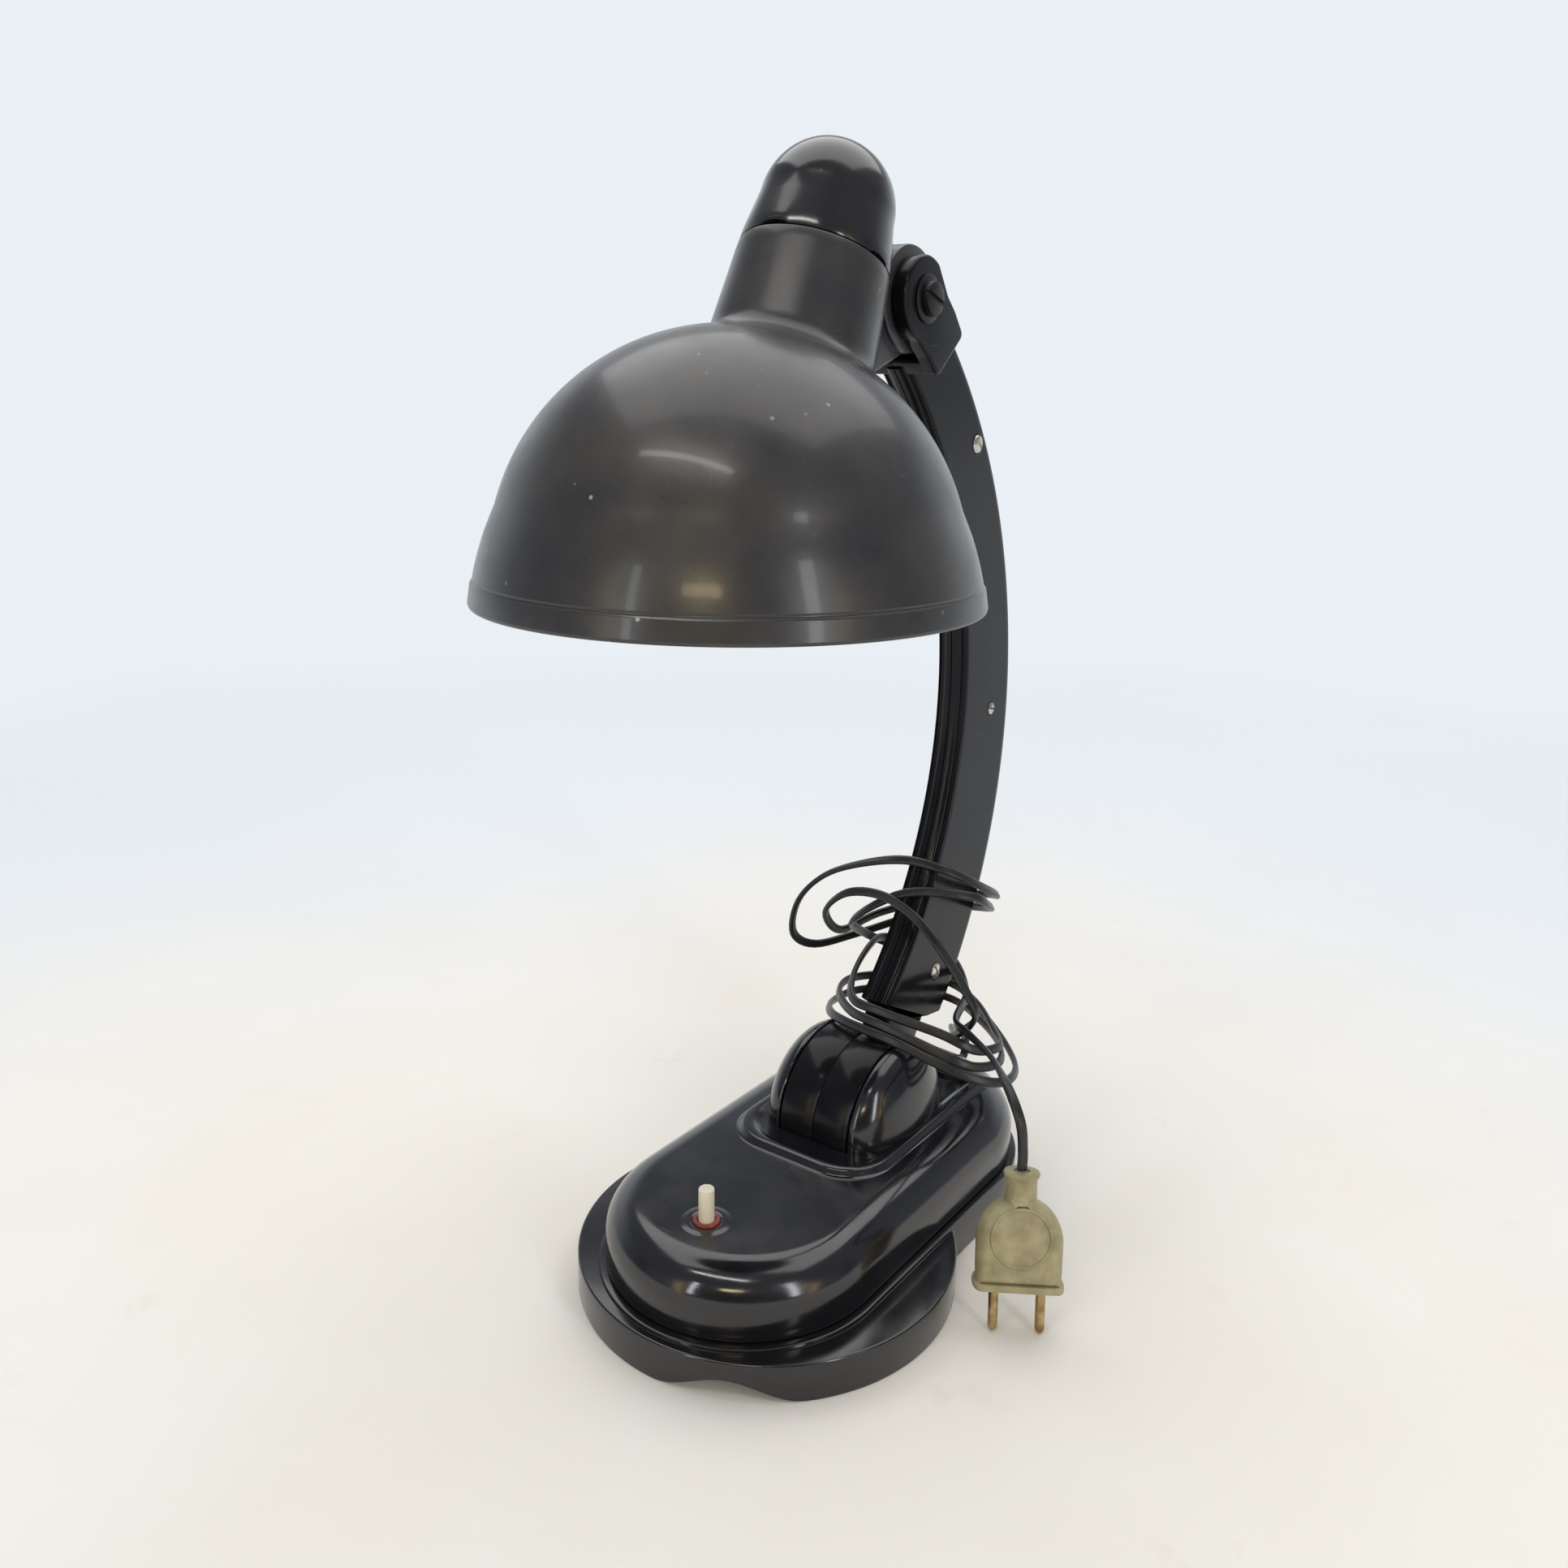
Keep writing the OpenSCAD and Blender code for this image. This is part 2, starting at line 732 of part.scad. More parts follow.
// half section of the bell: a flared skirt under a round top
module bell_half(inset) {
    polygon([
        [0, 0],
        [bell_d / 2 - inset, 0],
        [bell_d / 2 - inset, rim_h],
        [dome_side(inset), dome_from],
        [0, dome_from]
    ]);
    intersection() {
        translate([0, bell_h - dome_r]) circle(dome_r - inset);
        translate([0, dome_from]) square([dome_r, dome_r]);
    }
}

module shade() {
    color([0.055, 0.048, 0.045]) difference() {
        union() {
            translate([0, -shade_y, rim_z]) {
                rotate_extrude() bell_half(0);
                cylinder(h = rim_h, r1 = rim_d / 2, r2 = rim_d / 2 - rim_flare);
            }
            on_neck(neck_foot_at) cylinder(h = seam_at - neck_foot_at, r1 = neck_low_r, r2 = neck_top_r);
            on_bolt(-barrel_half) cylinder(h = 2 * barrel_half, r = barrel_r);
            side_plate(lug_inset - barrel_half, 2 * (barrel_half - lug_inset)) lug_shape();
        }
        translate([0, -shade_y, rim_z - 1]) rotate_extrude() {
            translate([0, 1]) bell_half(shade_wall);
            square([bell_d / 2 - shade_wall, rim_h]);
        }
        on_neck(neck_foot_at - 20) cylinder(h = ledge_at - neck_foot_at + 20, r = neck_bore_r);
        on_neck(ledge_at - 1) cylinder(h = 8, r = neck_bore_r - ledge_w);
        on_neck(ledge_at + ledge_t) cylinder(h = 60, r = neck_bore_r);
        on_bolt(-barrel_half - 1) cylinder(h = 2 * barrel_half + 2, r = bolt_r + run_gap);
    }
}

// side view of the web that joins the barrel to the neck
module lug_shape() {
    polygon([
        neck_point(lug_from, neck_top_r - shade_wall),
        neck_point(lug_from, neck_low_r),
        [bolt_y + 2, bolt_z - barrel_r + 1],
        [bolt_y, bolt_z],
        [bolt_y - 6, bolt_z + barrel_r - 3],
        neck_point(seam_at - 1, neck_top_r),
        neck_point(seam_at - 1, neck_top_r - shade_wall)
    ]);
}

function neck_point(along, across) = [
    -shade_y + along * sin(neck_lean) + across * cos(neck_lean),
    rim_z + along * cos(neck_lean) - across * sin(neck_lean)
];

module cap() {
    color([0.045, 0.04, 0.04]) on_neck(seam_at + slip) difference() {
        cap_solid(0);
        translate([0, 0, -eps]) cap_solid(cap_wall);
        for (a = [0:90:270]) rotate([0, 0, a])
            translate([neck_top_r - 2 * cap_wall, -vent_w / 2, -1]) cube([3 * cap_wall, vent_w, 1 + vent_h]);
    }
}

// cap as a tapered skirt with a round top
module cap_solid(inset) {
    skirt = cap_h - cap_r;
    r_top = cap_r - inset;
    cylinder(h = skirt, r1 = neck_top_r - 0.2 - inset, r2 = r_top);
    translate([0, 0, skirt]) intersection() {
        sphere(r_top);
        cylinder(h = 100, r = 100);
    }
}

// screws that hold the bridge on its ledge
module bridge_screws() {
    color(steel) for (s = [-1, 1]) on_neck(ledge_at + ledge_t)
        translate([s * (neck_bore_r - ledge_w / 2), 0, 0]) {
            translate([0, 0, bridge_t + slip]) cylinder(h = 1.4, r = 1.4);
        }
}

// disc across the neck that carries the lampholder
module bridge() {
    color(steel) on_neck(ledge_at + ledge_t + slip / 2) difference() {
        cylinder(h = bridge_t, r = neck_bore_r - slip);
        translate([0, 0, -1]) cylinder(h = 5, r = nipple_r + slip);
        for (a = [45, 225]) rotate([0, 0, a]) translate([13, 0, -1]) cylinder(h = 5, r = 3);
    }
}

module holder_shell() {
    color([0.85, 0.84, 0.8]) on_neck(holder_low) difference() {
        cylinder(h = holder_l, r = holder_r);
        translate([0, 0, -1]) cylinder(h = holder_l - holder_top_t + 1, r = holder_r - 2);
        translate([0, 0, -1]) cylinder(h = holder_l + 2, r = nipple_r + slip);
    }
}

module holder_insert() {
    color(brass) on_neck(holder_low + 1) difference() {
        cylinder(h = e27_l, r = e27_r + holder_wall);
        translate([0, 0, -1]) cylinder(h = e27_l + 2, r = e27_r);
    }
}

// china disc with the centre contact
module holder_contact() {
    color([0.8, 0.78, 0.72]) on_neck(holder_low + 1 + e27_l + slip) difference() {
        cylinder(h = holder_l - holder_top_t - 1 - e27_l - 2 * slip, r = holder_r - 2 - slip);
        translate([0, 0, -1]) cylinder(h = 30, r = nipple_r + slip);
    }
}

module holder_nipple() {
    low = holder_low + holder_l - holder_top_t;
    high = ledge_at + ledge_t + bridge_t + 6;
    color(brass) on_neck(low) difference() {
        cylinder(h = high - low, r = nipple_r);
        translate([0, 0, -1]) cylinder(h = high - low + 2, r = nipple_r - 1.4);
    }
}

// nuts on the nipple, one each side of the bridge
module nipple_nuts() {
    color(brass) for (at = [ledge_at + ledge_t - 2.5, ledge_at + ledge_t + bridge_t + slip])
        on_neck(at) difference() {
            cylinder(h = 2.4, r = 8.5, $fn = 6);
            translate([0, 0, -1]) cylinder(h = 5, r = nipple_r + slip);
        }
}

// cord ------------------------------------------------------------------------------------

// tube that follows the points
module tube(points, r, sides) {
    n = len(points);
    ahead = [for (i = [0:n - 1]) unit(points[min(i + 1, n - 1)] - points[max(i - 1, 0)])];
    side = [
        for (i = 0, u = unit(cross(ahead[0], [1, 0.3, 0.1])); i < n;
            i = i + 1, u = i < n ? unit(u - ahead[i] * (u * ahead[i])) : u) u
    ];
    rings = [
        for (i = [0:n - 1]) for (k = [0:sides - 1])
            points[i] + r * (cos(360 * k / sides) * side[i] + sin(360 * k / sides) * cross(ahead[i], side[i]))
    ];
    walls = [
        for (i = [0:n - 2]) for (k = [0:sides - 1])
            let (a = i * sides + k, b = i * sides + (k + 1) % sides)
                each [[a, a + sides, b], [b, a + sides, b + sides]]
    ];
    ends = [[for (k = [0:sides - 1]) k], [for (k = [sides - 1:-1:0]) (n - 1) * sides + k]];
    polyhedron(rings, concat(walls, ends));
}

function unit(v) = v / norm(v);

module cord() {
    color([0.04, 0.04, 0.04]) tube(cord_route, cord_d / 2, 8);
}

// at the plug, turned to face the way it stands
module at_plug() {
    translate(plug_foot) rotate([0, 0, plug_turn]) rotate([-plug_lean, 0, 0]) children();
}

module plug_body() {
    body_z = plug_pin_l + plug_flange_t - 0.5;
    color([0.52, 0.5, 0.36]) at_plug() {
        translate([0, plug_t / 2, 0]) rotate([90, 0, 0]) linear_extrude(plug_t) intersection() {
            union() {
                translate([0, plug_round_z]) circle(plug_w / 2);
                translate([-plug_w / 2, body_z]) square([plug_w, plug_round_z - body_z]);
            }
            translate([-plug_w, body_z]) square([2 * plug_w, plug_l]);
        }
        translate([-plug_w / 2 - plug_flange_out, -plug_t / 2 - 1, plug_pin_l])
            cube([plug_w + 2 * plug_flange_out, plug_t + 2, plug_flange_t]);
        translate([0, 0, plug_round_z]) cylinder(h = plug_top - plug_round_z - 1, r = plug_waist_r);
        translate([0, 0, plug_top - plug_collar_t]) cylinder(h = plug_collar_t, r = plug_collar_r);
        rotate([90, 0, 0]) translate([0, plug_pin_l + badge_up, 0])
            cylinder(h = plug_t / 2 + badge_t, r = badge_r);
    }
}

module plug_pins() {
    color(brass) for (s = [-1, 1]) at_plug() translate([s * plug_pitch / 2, 0, 0.2])
        cylinder(h = plug_pin_l - 0.2 - slip, r = plug_pin_r);
}

foot();
housing();
ballast();
cover();
cover_screws();
switch_body();
switch_collar();
switch_button();
hinge_pin();
hinge_washers();
cord_gland();
lead_inside();
arm_left();
arm_right();
arm_screws();
arm_nuts();
arm_cable();
head_bolt();
head_nut();
head_washer();
fork_discs();
shade();
cap();
bridge();
bridge_screws();
holder_shell();
holder_insert();
holder_contact();
holder_nipple();
nipple_nuts();
cord();
plug_body();
plug_pins();
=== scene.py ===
"""Looks of the moulded desk lamp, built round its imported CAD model.

Everything is in metres in the CAD's own frame: the foot's centre on the table is the origin, Z is up
and the lamp faces -Y. Lengths are written in millimetres and turned into metres by MM.
"""

import json
import math

import bmesh
import bpy
import numpy as np
from mathutils import Matrix, Vector


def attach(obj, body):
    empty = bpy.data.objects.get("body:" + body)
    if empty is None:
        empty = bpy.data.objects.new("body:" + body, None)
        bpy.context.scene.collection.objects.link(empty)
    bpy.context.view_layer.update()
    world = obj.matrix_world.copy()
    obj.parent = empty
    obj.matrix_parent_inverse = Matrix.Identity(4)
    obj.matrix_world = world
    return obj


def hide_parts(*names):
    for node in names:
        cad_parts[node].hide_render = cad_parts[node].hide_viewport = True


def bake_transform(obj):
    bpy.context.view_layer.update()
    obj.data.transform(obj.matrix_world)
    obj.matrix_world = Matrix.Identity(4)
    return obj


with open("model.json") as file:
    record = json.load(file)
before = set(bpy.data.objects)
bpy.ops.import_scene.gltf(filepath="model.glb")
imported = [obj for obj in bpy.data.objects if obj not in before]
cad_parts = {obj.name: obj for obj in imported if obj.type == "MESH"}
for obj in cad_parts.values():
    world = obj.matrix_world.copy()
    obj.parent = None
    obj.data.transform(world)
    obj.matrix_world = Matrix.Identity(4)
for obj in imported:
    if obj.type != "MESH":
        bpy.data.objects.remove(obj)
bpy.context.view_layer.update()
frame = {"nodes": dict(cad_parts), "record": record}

MM = 0.001

# driving sizes of the lamp, as in the CAD model (mm)
FOOT_R, FOOT_H, FOOT_WALL, RECESS_Z = 81, 17, 5, 13
PLINTH_R, PLINTH_H = 62, 18.5
FRONT_Y, REAR_Y = -15, 98
ARCH_W, ARCH_H, ARCH_TURN = 54, 8.4, -65
HOUSING_R, HOUSING_TOP, HOUSING_ROUND = 59, 47, 16
DECK_HALF, DECK_FRONT, DECK_REAR, DECK_TOP, DECK_CORNER = 38, 14, 123, 50, 22
HINGE = Vector((0, 67.5, 49))
DRUM_R, DRUM_HALF, CHEEK_IN, CHEEK_OUT, TROUGH_HALF = 35.5, 17.5, 18.4, 17, 12
BLADE_HALF = 7.5
FRONT_C, FRONT_R = np.array([-52.6, 235]), 192
BACK_C, BACK_R = np.array([-45, 220]), 228.5
BOLT = Vector((0, 68, 401))
FORK_LEAN = 40
FORK_IN, FORK_OUT, EAR_R = 13, 19, 16
RIM = Vector((0, -29.3, 294))
DOME_R, DOME_Z, BELL_FROM = 84, 10, 34
NECK_LEAN, NECK_LOW_R, NECK_TOP_R, SEAM_AT, NECK_BORE = 22.4, 31, 28, 126, 25
CAP_SKIRT, CAP_R, NOTCH_H, NOTCH_HALF = 19.5, 24.8, 1.3, 11.5
SHADE_WALL = 3
SWITCH_Y, BUTTON_R = -42, 3.2
PLUG_AT, PLUG_TURN, PLUG_LEAN = Vector((105, 28, 0.5)), 32, 14
PIN_L, PIN_R, PIN_PITCH, PLUG_T, BADGE_UP = 19, 2.0, 19, 15, 22


# camera and light ------------------------------------------------------------------------------

def add_camera():
    """The photograph's own viewpoint: in front of the lamp and on its +X side, looking a little down."""
    turn, down, roll = math.radians(35.54), math.radians(16.29), math.radians(1.03)
    ahead = Vector((-math.sin(turn) * math.cos(down), math.cos(turn) * math.cos(down), -math.sin(down)))
    right = Vector((math.cos(turn), math.sin(turn), 0))
    up = right.cross(ahead)
    x = right * math.cos(roll) + up * math.sin(roll)
    y = up * math.cos(roll) - right * math.sin(roll)
    data = bpy.data.cameras.new("camera")
    data.sensor_width, data.lens = 36, 30.6
    data.clip_start, data.clip_end = 0.02, 50
    cam = bpy.data.objects.new("camera", data)
    facing = Matrix((x, y, -ahead)).transposed().to_4x4()
    cam.matrix_world = Matrix.Translation((0.2918, -0.4025, 0.365)) @ facing
    bpy.context.collection.objects.link(cam)
    bpy.context.scene.camera = cam


def area_light(name, place, aim, size, power, colour):
    data = bpy.data.lights.new(name, "AREA")
    data.shape, data.size, data.size_y = "RECTANGLE", size[0], size[1]
    data.energy, data.color = power, colour
    light = bpy.data.objects.new(name, data)
    light.location = place
    light.rotation_euler = (Vector(aim) - Vector(place)).to_track_quat("-Z", "Y").to_euler()
    bpy.context.collection.objects.link(light)


def nodes_of(tree):
    """Shorthand that adds a node, sets its plain inputs and links the others."""
    def add(kind, settings=(), **inputs):
        node = tree.nodes.new(kind)
        for key, value in dict(settings).items():
            setattr(node, key, value)
        for key, value in inputs.items():
            socket = node.inputs[key.replace("_", " ")] if not key.startswith("i") or not key[1:].isdigit() \
                else node.inputs[int(key[1:])]
            if isinstance(value, bpy.types.NodeSocket):
                tree.links.new(value, socket)
            else:
                socket.default_value = value
        return node
    return add


def add_world():
    """A photo booth: a bright low backdrop behind the lamp, dim bluish sides, and a dark warm room in front
    with a golden glow round the booth's mouth."""
    world = bpy.data.worlds.new("room")
    world.use_nodes = True
    tree = world.node_tree
    tree.nodes.clear()
    add = nodes_of(tree)
    where = add("ShaderNodeTexCoord").outputs["Generated"]
    front = add("ShaderNodeVectorMath", {"operation": "DOT_PRODUCT"}, i0=where,
                i1=(0.57, -0.80, 0.16)).outputs["Value"]
    warp = noise(add, where, 2.2, 2.0)
    front = math_node(add, "ADD", front, remap(add, warp, 0.3, 0.7, -0.03, 0.03))
    ramp = add("ShaderNodeValToRGB", Fac=remap(add, front, -1.0, 1.0, 0.0, 1.0))
    stops = ramp.color_ramp
    colours = [(0.13, (0.82, 0.87, 0.91)), (0.40, (0.30, 0.325, 0.37)), (0.56, (0.16, 0.175, 0.21)),
               (0.70, (0.30, 0.33, 0.40)), (0.775, (0.38, 0.38, 0.40)), (0.815, (2.6, 1.95, 1.0)),
               (0.855, (0.30, 0.24, 0.15)), (1.0, (0.13, 0.115, 0.09))]
    stops.elements[0].position, stops.elements[0].color = colours[0][0], (*colours[0][1], 1)
    stops.elements[1].position, stops.elements[1].color = colours[-1][0], (*colours[-1][1], 1)
    for position, colour in colours[1:-1]:
        stops.elements.new(position).color = (*colour, 1)
    # above the backdrop the room is dark
    height = add("ShaderNodeSeparateXYZ", Vector=where).outputs["Z"]
    ceiling = remap(add, height, 0.30, 0.52, 0.0, 1.0)
    colour = mix_colour(add, ceiling, ramp.outputs["Color"], (0.26, 0.275, 0.31))
    shine = add("ShaderNodeBackground", Color=colour, Strength=1.0)
    out = add("ShaderNodeOutputWorld")
    tree.links.new(shine.outputs[0], out.inputs[0])
    bpy.context.scene.world = world
    bpy.context.scene.view_settings.view_transform = "Standard"


# materials -------------------------------------------------------------------------------------

def shader(name, **sockets):
    """A new material with its Principled shader; the sockets given are set on the shader itself."""
    mat = bpy.data.materials.new(name)
    mat.use_nodes = True
    add = nodes_of(mat.node_tree)
    body = mat.node_tree.nodes["Principled BSDF"]
    for key, value in sockets.items():
        body.inputs[key.replace("_", " ")].default_value = value
    return mat, add, body


def place_node(add, scale=(1, 1, 1)):
    where = add("ShaderNodeTexCoord")
    return add("ShaderNodeMapping", Vector=where.outputs["Object"], Scale=scale).outputs["Vector"]


def noise(add, vector, scale, detail=3.0, rough=0.55):
    return add("ShaderNodeTexNoise", Vector=vector, Scale=scale, Detail=detail, Roughness=rough).outputs[0]


def remap(add, value, low, high, to_low, to_high):
    return add("ShaderNodeMapRange", Value=value, i1=low, i2=high, i3=to_low, i4=to_high).outputs[0]


def two_tone(add, value, dark, light):
    mixed = add("ShaderNodeMix", {"data_type": "RGBA"}, i0=value)
    mixed.inputs[6].default_value, mixed.inputs[7].default_value = (*dark, 1), (*light, 1)
    return mixed.outputs[2]


def mix_colour(add, value, below, above):
    mixed = add("ShaderNodeMix", {"data_type": "RGBA"}, i0=value)
    for index, colour in ((6, below), (7, above)):
        if isinstance(colour, tuple):
            mixed.inputs[index].default_value = (*colour, 1)
        else:
            mixed.id_data.links.new(colour, mixed.inputs[index])
    return mixed.outputs[2]


def math_node(add, kind, a, b):
    return add("ShaderNodeMath", {"operation": kind}, i0=a, i1=b).outputs[0]


def phenolic(name, dark, light, rough, wear, chips, shine=0.5):
    """Moulded phenolic: nearly black, with cloudy colour, hairline scratches, dust and small pale chips."""
    mat, add, body = shader(name, IOR=1.58, Specular_IOR_Level=shine, Coat_Weight=0.4 * shine,
                            Coat_Roughness=0.08)
    link = mat.node_tree.links.new
    plain = place_node(add)
    cloud = noise(add, plain, 34.0, 4.0)
    grain = noise(add, plain, 1500.0, 2.0)
    colour = two_tone(add, remap(add, cloud, 0.35, 0.7, 0.0, 1.0), dark, light)
    # hairline scratches run two ways
    streak = noise(add, place_node(add, (1.0, 0.04, 0.6)), 900.0, 2.0)
    streak_2 = noise(add, place_node(add, (0.05, 0.8, 1.0)), 700.0, 2.0)
    hair = math_node(add, "MAXIMUM", remap(add, streak, 0.72, 0.8, 0.0, 1.0),
                     remap(add, streak_2, 0.72, 0.8, 0.0, 1.0))
    cells = add("ShaderNodeTexVoronoi", Vector=plain, Scale=chips[0])
    spot = remap(add, cells.outputs["Distance"], chips[1], chips[1] * 0.6, 0.0, 1.0)
    patch = remap(add, noise(add, plain, 23.0, 2.0), 0.52, 0.62, 0.0, 1.0)
    chip = math_node(add, "MULTIPLY", spot, patch)
    colour = mix_colour(add, math_node(add, "MULTIPLY", hair, wear), colour, (0.16, 0.15, 0.14))
    colour = mix_colour(add, chip, colour, (0.42, 0.40, 0.36))
    link(colour, body.inputs["Base Color"])
    haze = remap(add, noise(add, plain, 55.0, 5.0), 0.3, 0.75, rough[0], rough[1])
    haze = math_node(add, "ADD", haze, math_node(add, "MULTIPLY", hair, 0.12))
    link(haze, body.inputs["Roughness"])
    height = math_node(add, "ADD", math_node(add, "MULTIPLY", grain, 0.25),
                       math_node(add, "MULTIPLY", cloud, 0.9))
    bump = add("ShaderNodeBump", Height=height, Strength=0.06, Distance=0.0006)
    link(bump.outputs[0], body.inputs["Normal"])
    return mat


def metal(name, dark, light, rough, streak=(1, 1, 1), scale=600.0):
    mat, add, body = shader(name, Metallic=1.0)
    link = mat.node_tree.links.new
    spots = noise(add, place_node(add), 160.0, 4.0)
    lines = noise(add, place_node(add, streak), scale, 3.0)
    link(two_tone(add, remap(add, spots, 0.35, 0.7, 0.0, 1.0), dark, light), body.inputs["Base Color"])
    link(remap(add, lines, 0.3, 0.7, rough[0], rough[1]), body.inputs["Roughness"])
    bump = add("ShaderNodeBump", Height=lines, Strength=0.12, Distance=0.0003)
    link(bump.outputs[0], body.inputs["Normal"])
    return mat


def plastic(name, dark, light, rough, grain=900.0, bump_by=0.12, patch=60.0, **sockets):
    mat, add, body = shader(name, **sockets)
    link = mat.node_tree.links.new
    plain = place_node(add)
    cloud = noise(add, plain, patch, 4.0)
    fine = noise(add, plain, grain, 3.0)
    link(two_tone(add, remap(add, cloud, 0.3, 0.7, 0.0, 1.0), dark, light), body.inputs["Base Color"])
    link(remap(add, fine, 0.3, 0.7, rough[0], rough[1]), body.inputs["Roughness"])
    bump = add("ShaderNodeBump", Height=fine, Strength=bump_by, Distance=0.0005)
    link(bump.outputs[0], body.inputs["Normal"])
    return mat


MATS = {
    "shade_moulding": phenolic("shade_phenolic", (0.022, 0.022, 0.026), (0.042, 0.037, 0.032),
                               (0.25, 0.38), 0.30, (95.0, 0.085), 0.38),
    "base_moulding": phenolic("base_phenolic", (0.006, 0.006, 0.008), (0.010, 0.009, 0.011),
                              (0.10, 0.24), 0.16, (70.0, 0.030)),
    "arm_moulding": phenolic("arm_phenolic", (0.006, 0.006, 0.008), (0.011, 0.010, 0.012),
                             (0.14, 0.26), 0.20, (70.0, 0.030), 0.13),
    # the cap's phenolic is glossier and darker than the shade's: partly its own finish, partly painted shade
    # for the darker reflections it shows
    "cap_gloss": phenolic("cap_phenolic_and_painted_shade", (0.007, 0.007, 0.009), (0.014, 0.012, 0.012),
                          (0.13, 0.24), 0.22, (80.0, 0.030)),
    "nickel": metal("nickel", (0.46, 0.42, 0.34), (0.74, 0.71, 0.64), (0.16, 0.34), (1, 0.05, 1)),
    "brass": metal("brass", (0.30, 0.20, 0.09), (0.66, 0.50, 0.26), (0.22, 0.42), (1, 1, 0.05)),
    "blackened_steel": plastic("blackened_steel", (0.010, 0.010, 0.011), (0.028, 0.026, 0.024),
                               (0.26, 0.44), Metallic=0.6),
    "iron": plastic("cast_iron", (0.05, 0.05, 0.055), (0.10, 0.09, 0.085), (0.55, 0.8), 300.0, 0.5,
                    Metallic=0.7),
    "felt_cover": plastic("felted_sheet", (0.015, 0.026, 0.018), (0.035, 0.055, 0.038), (0.85, 0.98),
                          1800.0, 0.8),
    "insulator": plastic("insulator", (0.55, 0.52, 0.45), (0.72, 0.70, 0.64), (0.45, 0.65)),
    "red_collar": plastic("red_collar", (0.16, 0.018, 0.010), (0.28, 0.040, 0.022), (0.25, 0.40)),
    "ivory": plastic("ivory", (0.70, 0.62, 0.45), (0.82, 0.76, 0.62), (0.28, 0.42),
                     Subsurface_Weight=0.1, Subsurface_Scale=0.002),
    "cord_black": plastic("cord_jacket", (0.008, 0.008, 0.009), (0.018, 0.018, 0.019), (0.26, 0.42),
                          1200.0, 0.10),
    "plug_moulding": plastic("plug_moulding", (0.27, 0.235, 0.125), (0.43, 0.38, 0.22), (0.42, 0.62),
                             700.0, 0.30, 130.0),
}


# mesh helpers ----------------------------------------------------------------------------------

def rounded(corners, steps=6, closed=True):
    """Outline through corners (x, y, radius), with each corner turned into an arc of that radius."""
    out, count = [], len(corners)
    for i, (x, y, radius) in enumerate(corners):
        here = np.array([x, y], float)
        if radius <= 0 or (not closed and i in (0, count - 1)):
            out.append(here)
            continue
        before = np.array(corners[i - 1][:2], float) - here
        after = np.array(corners[(i + 1) % count][:2], float) - here
        a, b = before / np.linalg.norm(before), after / np.linalg.norm(after)
        half = math.acos(float(np.clip(a @ b, -1, 1))) / 2
        if half > math.pi / 2 - 0.02:
            out.append(here)
            continue
        reach = min(radius / math.tan(half), 0.49 * np.linalg.norm(before), 0.49 * np.linalg.norm(after))
        radius = reach * math.tan(half)
        middle = here + (a + b) / np.linalg.norm(a + b) * radius / math.sin(half)
        start, end = here + a * reach - middle, here + b * reach - middle
        swing = math.atan2(start[0] * end[1] - start[1] * end[0], start @ end)
        for k in range(steps + 1):
            t = swing * k / steps
            turn = np.array([[math.cos(t), -math.sin(t)], [math.sin(t), math.cos(t)]])
            out.append(middle + turn @ start)
    return np.array(out)


def inset(outline, by):
    """Closed outline moved inwards by a distance (outwards where it is negative)."""
    area = np.sum(outline[:, 0] * np.roll(outline[:, 1], -1) - np.roll(outline[:, 0], -1) * outline[:, 1])
    back = outline - np.roll(outline, 1, axis=0)
    ahead = np.roll(outline, -1, axis=0) - outline
    unit = lambda v: v / np.maximum(np.linalg.norm(v, axis=1, keepdims=True), 1e-9)
    normal = unit(unit(back) + unit(ahead))[:, ::-1] * np.array([-1, 1]) * (1 if area > 0 else -1)
    return outline + normal * by


